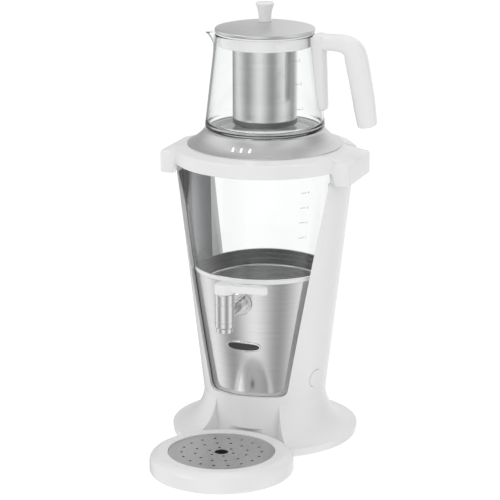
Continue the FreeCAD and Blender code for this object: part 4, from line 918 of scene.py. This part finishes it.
def superellipse(turns, power):
    """Unit outline |u|^power + |v|^power = 1, from a circle towards a rounded square."""
    return (np.sign(np.cos(turns)) * np.abs(np.cos(turns)) ** (2 / power),
            np.sign(np.sin(turns)) * np.abs(np.sin(turns)) ** (2 / power))


handle_path = smooth_path(HANDLE_STATIONS, 10)
run = np.gradient(handle_path[:, :2], axis=0)
run /= np.linalg.norm(run, axis=1, keepdims=True)
away = np.stack([-run[:, 1], run[:, 0]], -1)
dome_length = 5.6
dome_power = 3.2
section_turns = np.linspace(0.0, TAU, 64, endpoint=False)
section_u, section_v = superellipse(section_turns, 3.0)


def handle_section(spot, normal, shrink=1.0):
    """One closed outline of the grip, square to its path."""
    flat = spot[:2] + np.outer(section_u * spot[2] * shrink, normal)
    return np.stack([flat[:, 0], section_v * spot[3] * shrink, flat[:, 1]], -1)


handle_sections = [handle_section(spot, normal) for spot, normal in zip(handle_path, away)]
for part in np.linspace(0.0, 1.0, 12)[1:]:
    end_spot = handle_path[-1].copy()
    end_spot[:2] += run[-1] * part * dome_length
    handle_sections.append(handle_section(end_spot, away[-1], (1 - part ** dome_power) ** (1 / dome_power)))
handle_sections.insert(0, np.repeat(handle_sections[0].mean(0)[None], len(section_turns), 0))
handle_points = np.stack(handle_sections) * MM
handle = grid_piece("handle_grip", handle_points, wrap_columns=True, crease=50.0)

strap_low = 378.6
strap_high = 463.0
strap_round = 3.0
quarter = np.linspace(0, math.pi / 2, 7)
strap_run = np.linspace(384.0, 459.0, 20)
strap_heights = np.concatenate([strap_low + strap_round * (1 - np.cos(quarter)), strap_run,
                                strap_high - strap_round * (1 - np.sin(quarter))])
end_shrink = np.concatenate([np.sin(quarter), np.ones_like(strap_run), np.cos(quarter)])
strap_u, strap_v = superellipse(section_turns, 5.0)
strap_rows = []
for height, shrink in zip(strap_heights, end_shrink):
    half_width = 8.8 + 2.0 * (height - 378.0) / 85.0
    side = half_width * (0.75 + 0.25 * shrink) * strap_v
    inner = np.sqrt(teapot_radius(min(height, teapot_mouth)) ** 2 - side ** 2) + 0.25
    outer = 70.4 + 2.4 * (445.0 - min(max(height, 385.0), 445.0)) / 60.0 - 1.6 * strap_v ** 2
    middle, half_depth = (inner + outer) / 2, (outer - inner) / 2 * (0.35 + 0.65 * shrink)
    if height > teapot_mouth - 1.0:
        middle, half_depth = (57.0 + outer) / 2, (outer - 57.0) / 2 * (0.35 + 0.65 * shrink)
    strap_rows.append(np.stack([middle + strap_u * half_depth, side, np.full_like(side, height)], -1))
for index in (0, -1):
    cap = np.repeat(strap_rows[index].mean(0)[None], len(section_turns), 0)
    strap_rows.insert(0 if index == 0 else len(strap_rows), cap)
strap = grid_piece("handle_strap", np.stack(strap_rows) * MM, wrap_columns=True, crease=50.0)
white_handle = gloss_plastic("white_handle", *WHITE_DRIFT, 0.25)
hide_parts("teapot_handle")
for piece in (handle, strap):
    piece.data.materials.append(white_handle)
    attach(piece, "teapot")

# Infuser: a white rim ring that hangs in the teapot's mouth, and a polished steel tube pushed up through
# it, closed below by a dark pierced cup.
tube_out = 35.8
tube_low_height = 366.0
rim_plug_height = 447.0
rim_out_radius = neck - teapot_wall - 0.5
mirror_steel = turned_metal("polished_steel", (0.74, 0.74, 0.74), (0.82, 0.82, 0.82), 0.10, 0.18, 900.0, 0.08)
turned_piece("infuser_rim_moulding", [
    (tube_out, rim_plug_height, 0.3),
    (rim_out_radius, rim_plug_height, 1.0),
    (rim_out_radius, teapot_mouth + 0.3),
    (neck, teapot_mouth + 0.3, 0.5),
    (neck, teapot_mouth + 2.3, 0.8),
    (rim_out_radius - 2.0, teapot_mouth + 2.3, 0.6),
    (rim_out_radius - 2.0, rim_plug_height + 2.0, 0.6),
    (tube_out, rim_plug_height + 2.0, 0.3),
], "infuser", "infuser_rim", white_handle)
turned_piece("infuser_tube_drawn", [
    (tube_out - 0.8, tube_low_height),
    (tube_out, tube_low_height, 0.2),
    (tube_out, rim_plug_height + 2.0, 0.2),
    (tube_out + 3.0, rim_plug_height + 2.0, 0.3),
    (tube_out + 3.0, rim_plug_height + 2.8, 0.3),
    (tube_out - 0.8, rim_plug_height + 2.8, 0.4),
], "infuser", "infuser_tube", mirror_steel)
filter_dark = gloss_plastic("filter_dark", (0.05, 0.05, 0.052), (0.08, 0.08, 0.082), 0.35)
dress(filter_dark, "infuser_filter")

# Lid: a shallow dome of satin steel with a rolled edge and a grey seal under it. The white knob is
# screwed through its centre.
lid_low_height = 462.6
lid_out = 55.4
lid_crown_height = 473.0
knob_foot = 7.1
knob_head = 10.3
knob_high = 494.2
lid_dome = sagging((lid_out, 465.8), (knob_foot, lid_crown_height), -260.0)
lid_under = sagging((knob_foot, lid_crown_height - 1.2), (lid_out - 1.7, 464.6), 260.0)
lid_satin = turned_metal("satin_lid_steel", (0.74, 0.74, 0.74), (0.82, 0.82, 0.82), 0.30, 0.40, 1300.0)
turned_piece("lid_dome", [
    (lid_out - 1.7, lid_low_height, 0.3),
    (lid_out - 0.3, lid_low_height, 0.5),
    (lid_out, 465.8, 1.2),
    *lid_dome[1:],
    (1.6, lid_crown_height),
    (1.6, lid_crown_height - 1.2),
    *lid_under,
], "lid", "lid_disc", lid_satin, columns=256)
knob_waist = sagging((knob_foot, lid_crown_height), (knob_head, knob_high - 1.6), 40.0, 12)
turned_piece("lid_knob_moulding", [
    (0.0, lid_crown_height),
    (knob_foot, lid_crown_height, 0.3),
    *knob_waist[1:-1],
    (knob_head, knob_high - 1.6, 0.8),
    (knob_head - 0.4, knob_high, 1.2),
    (0.0, knob_high),
], "lid", "lid_knob", white_handle, closed=False, columns=96)
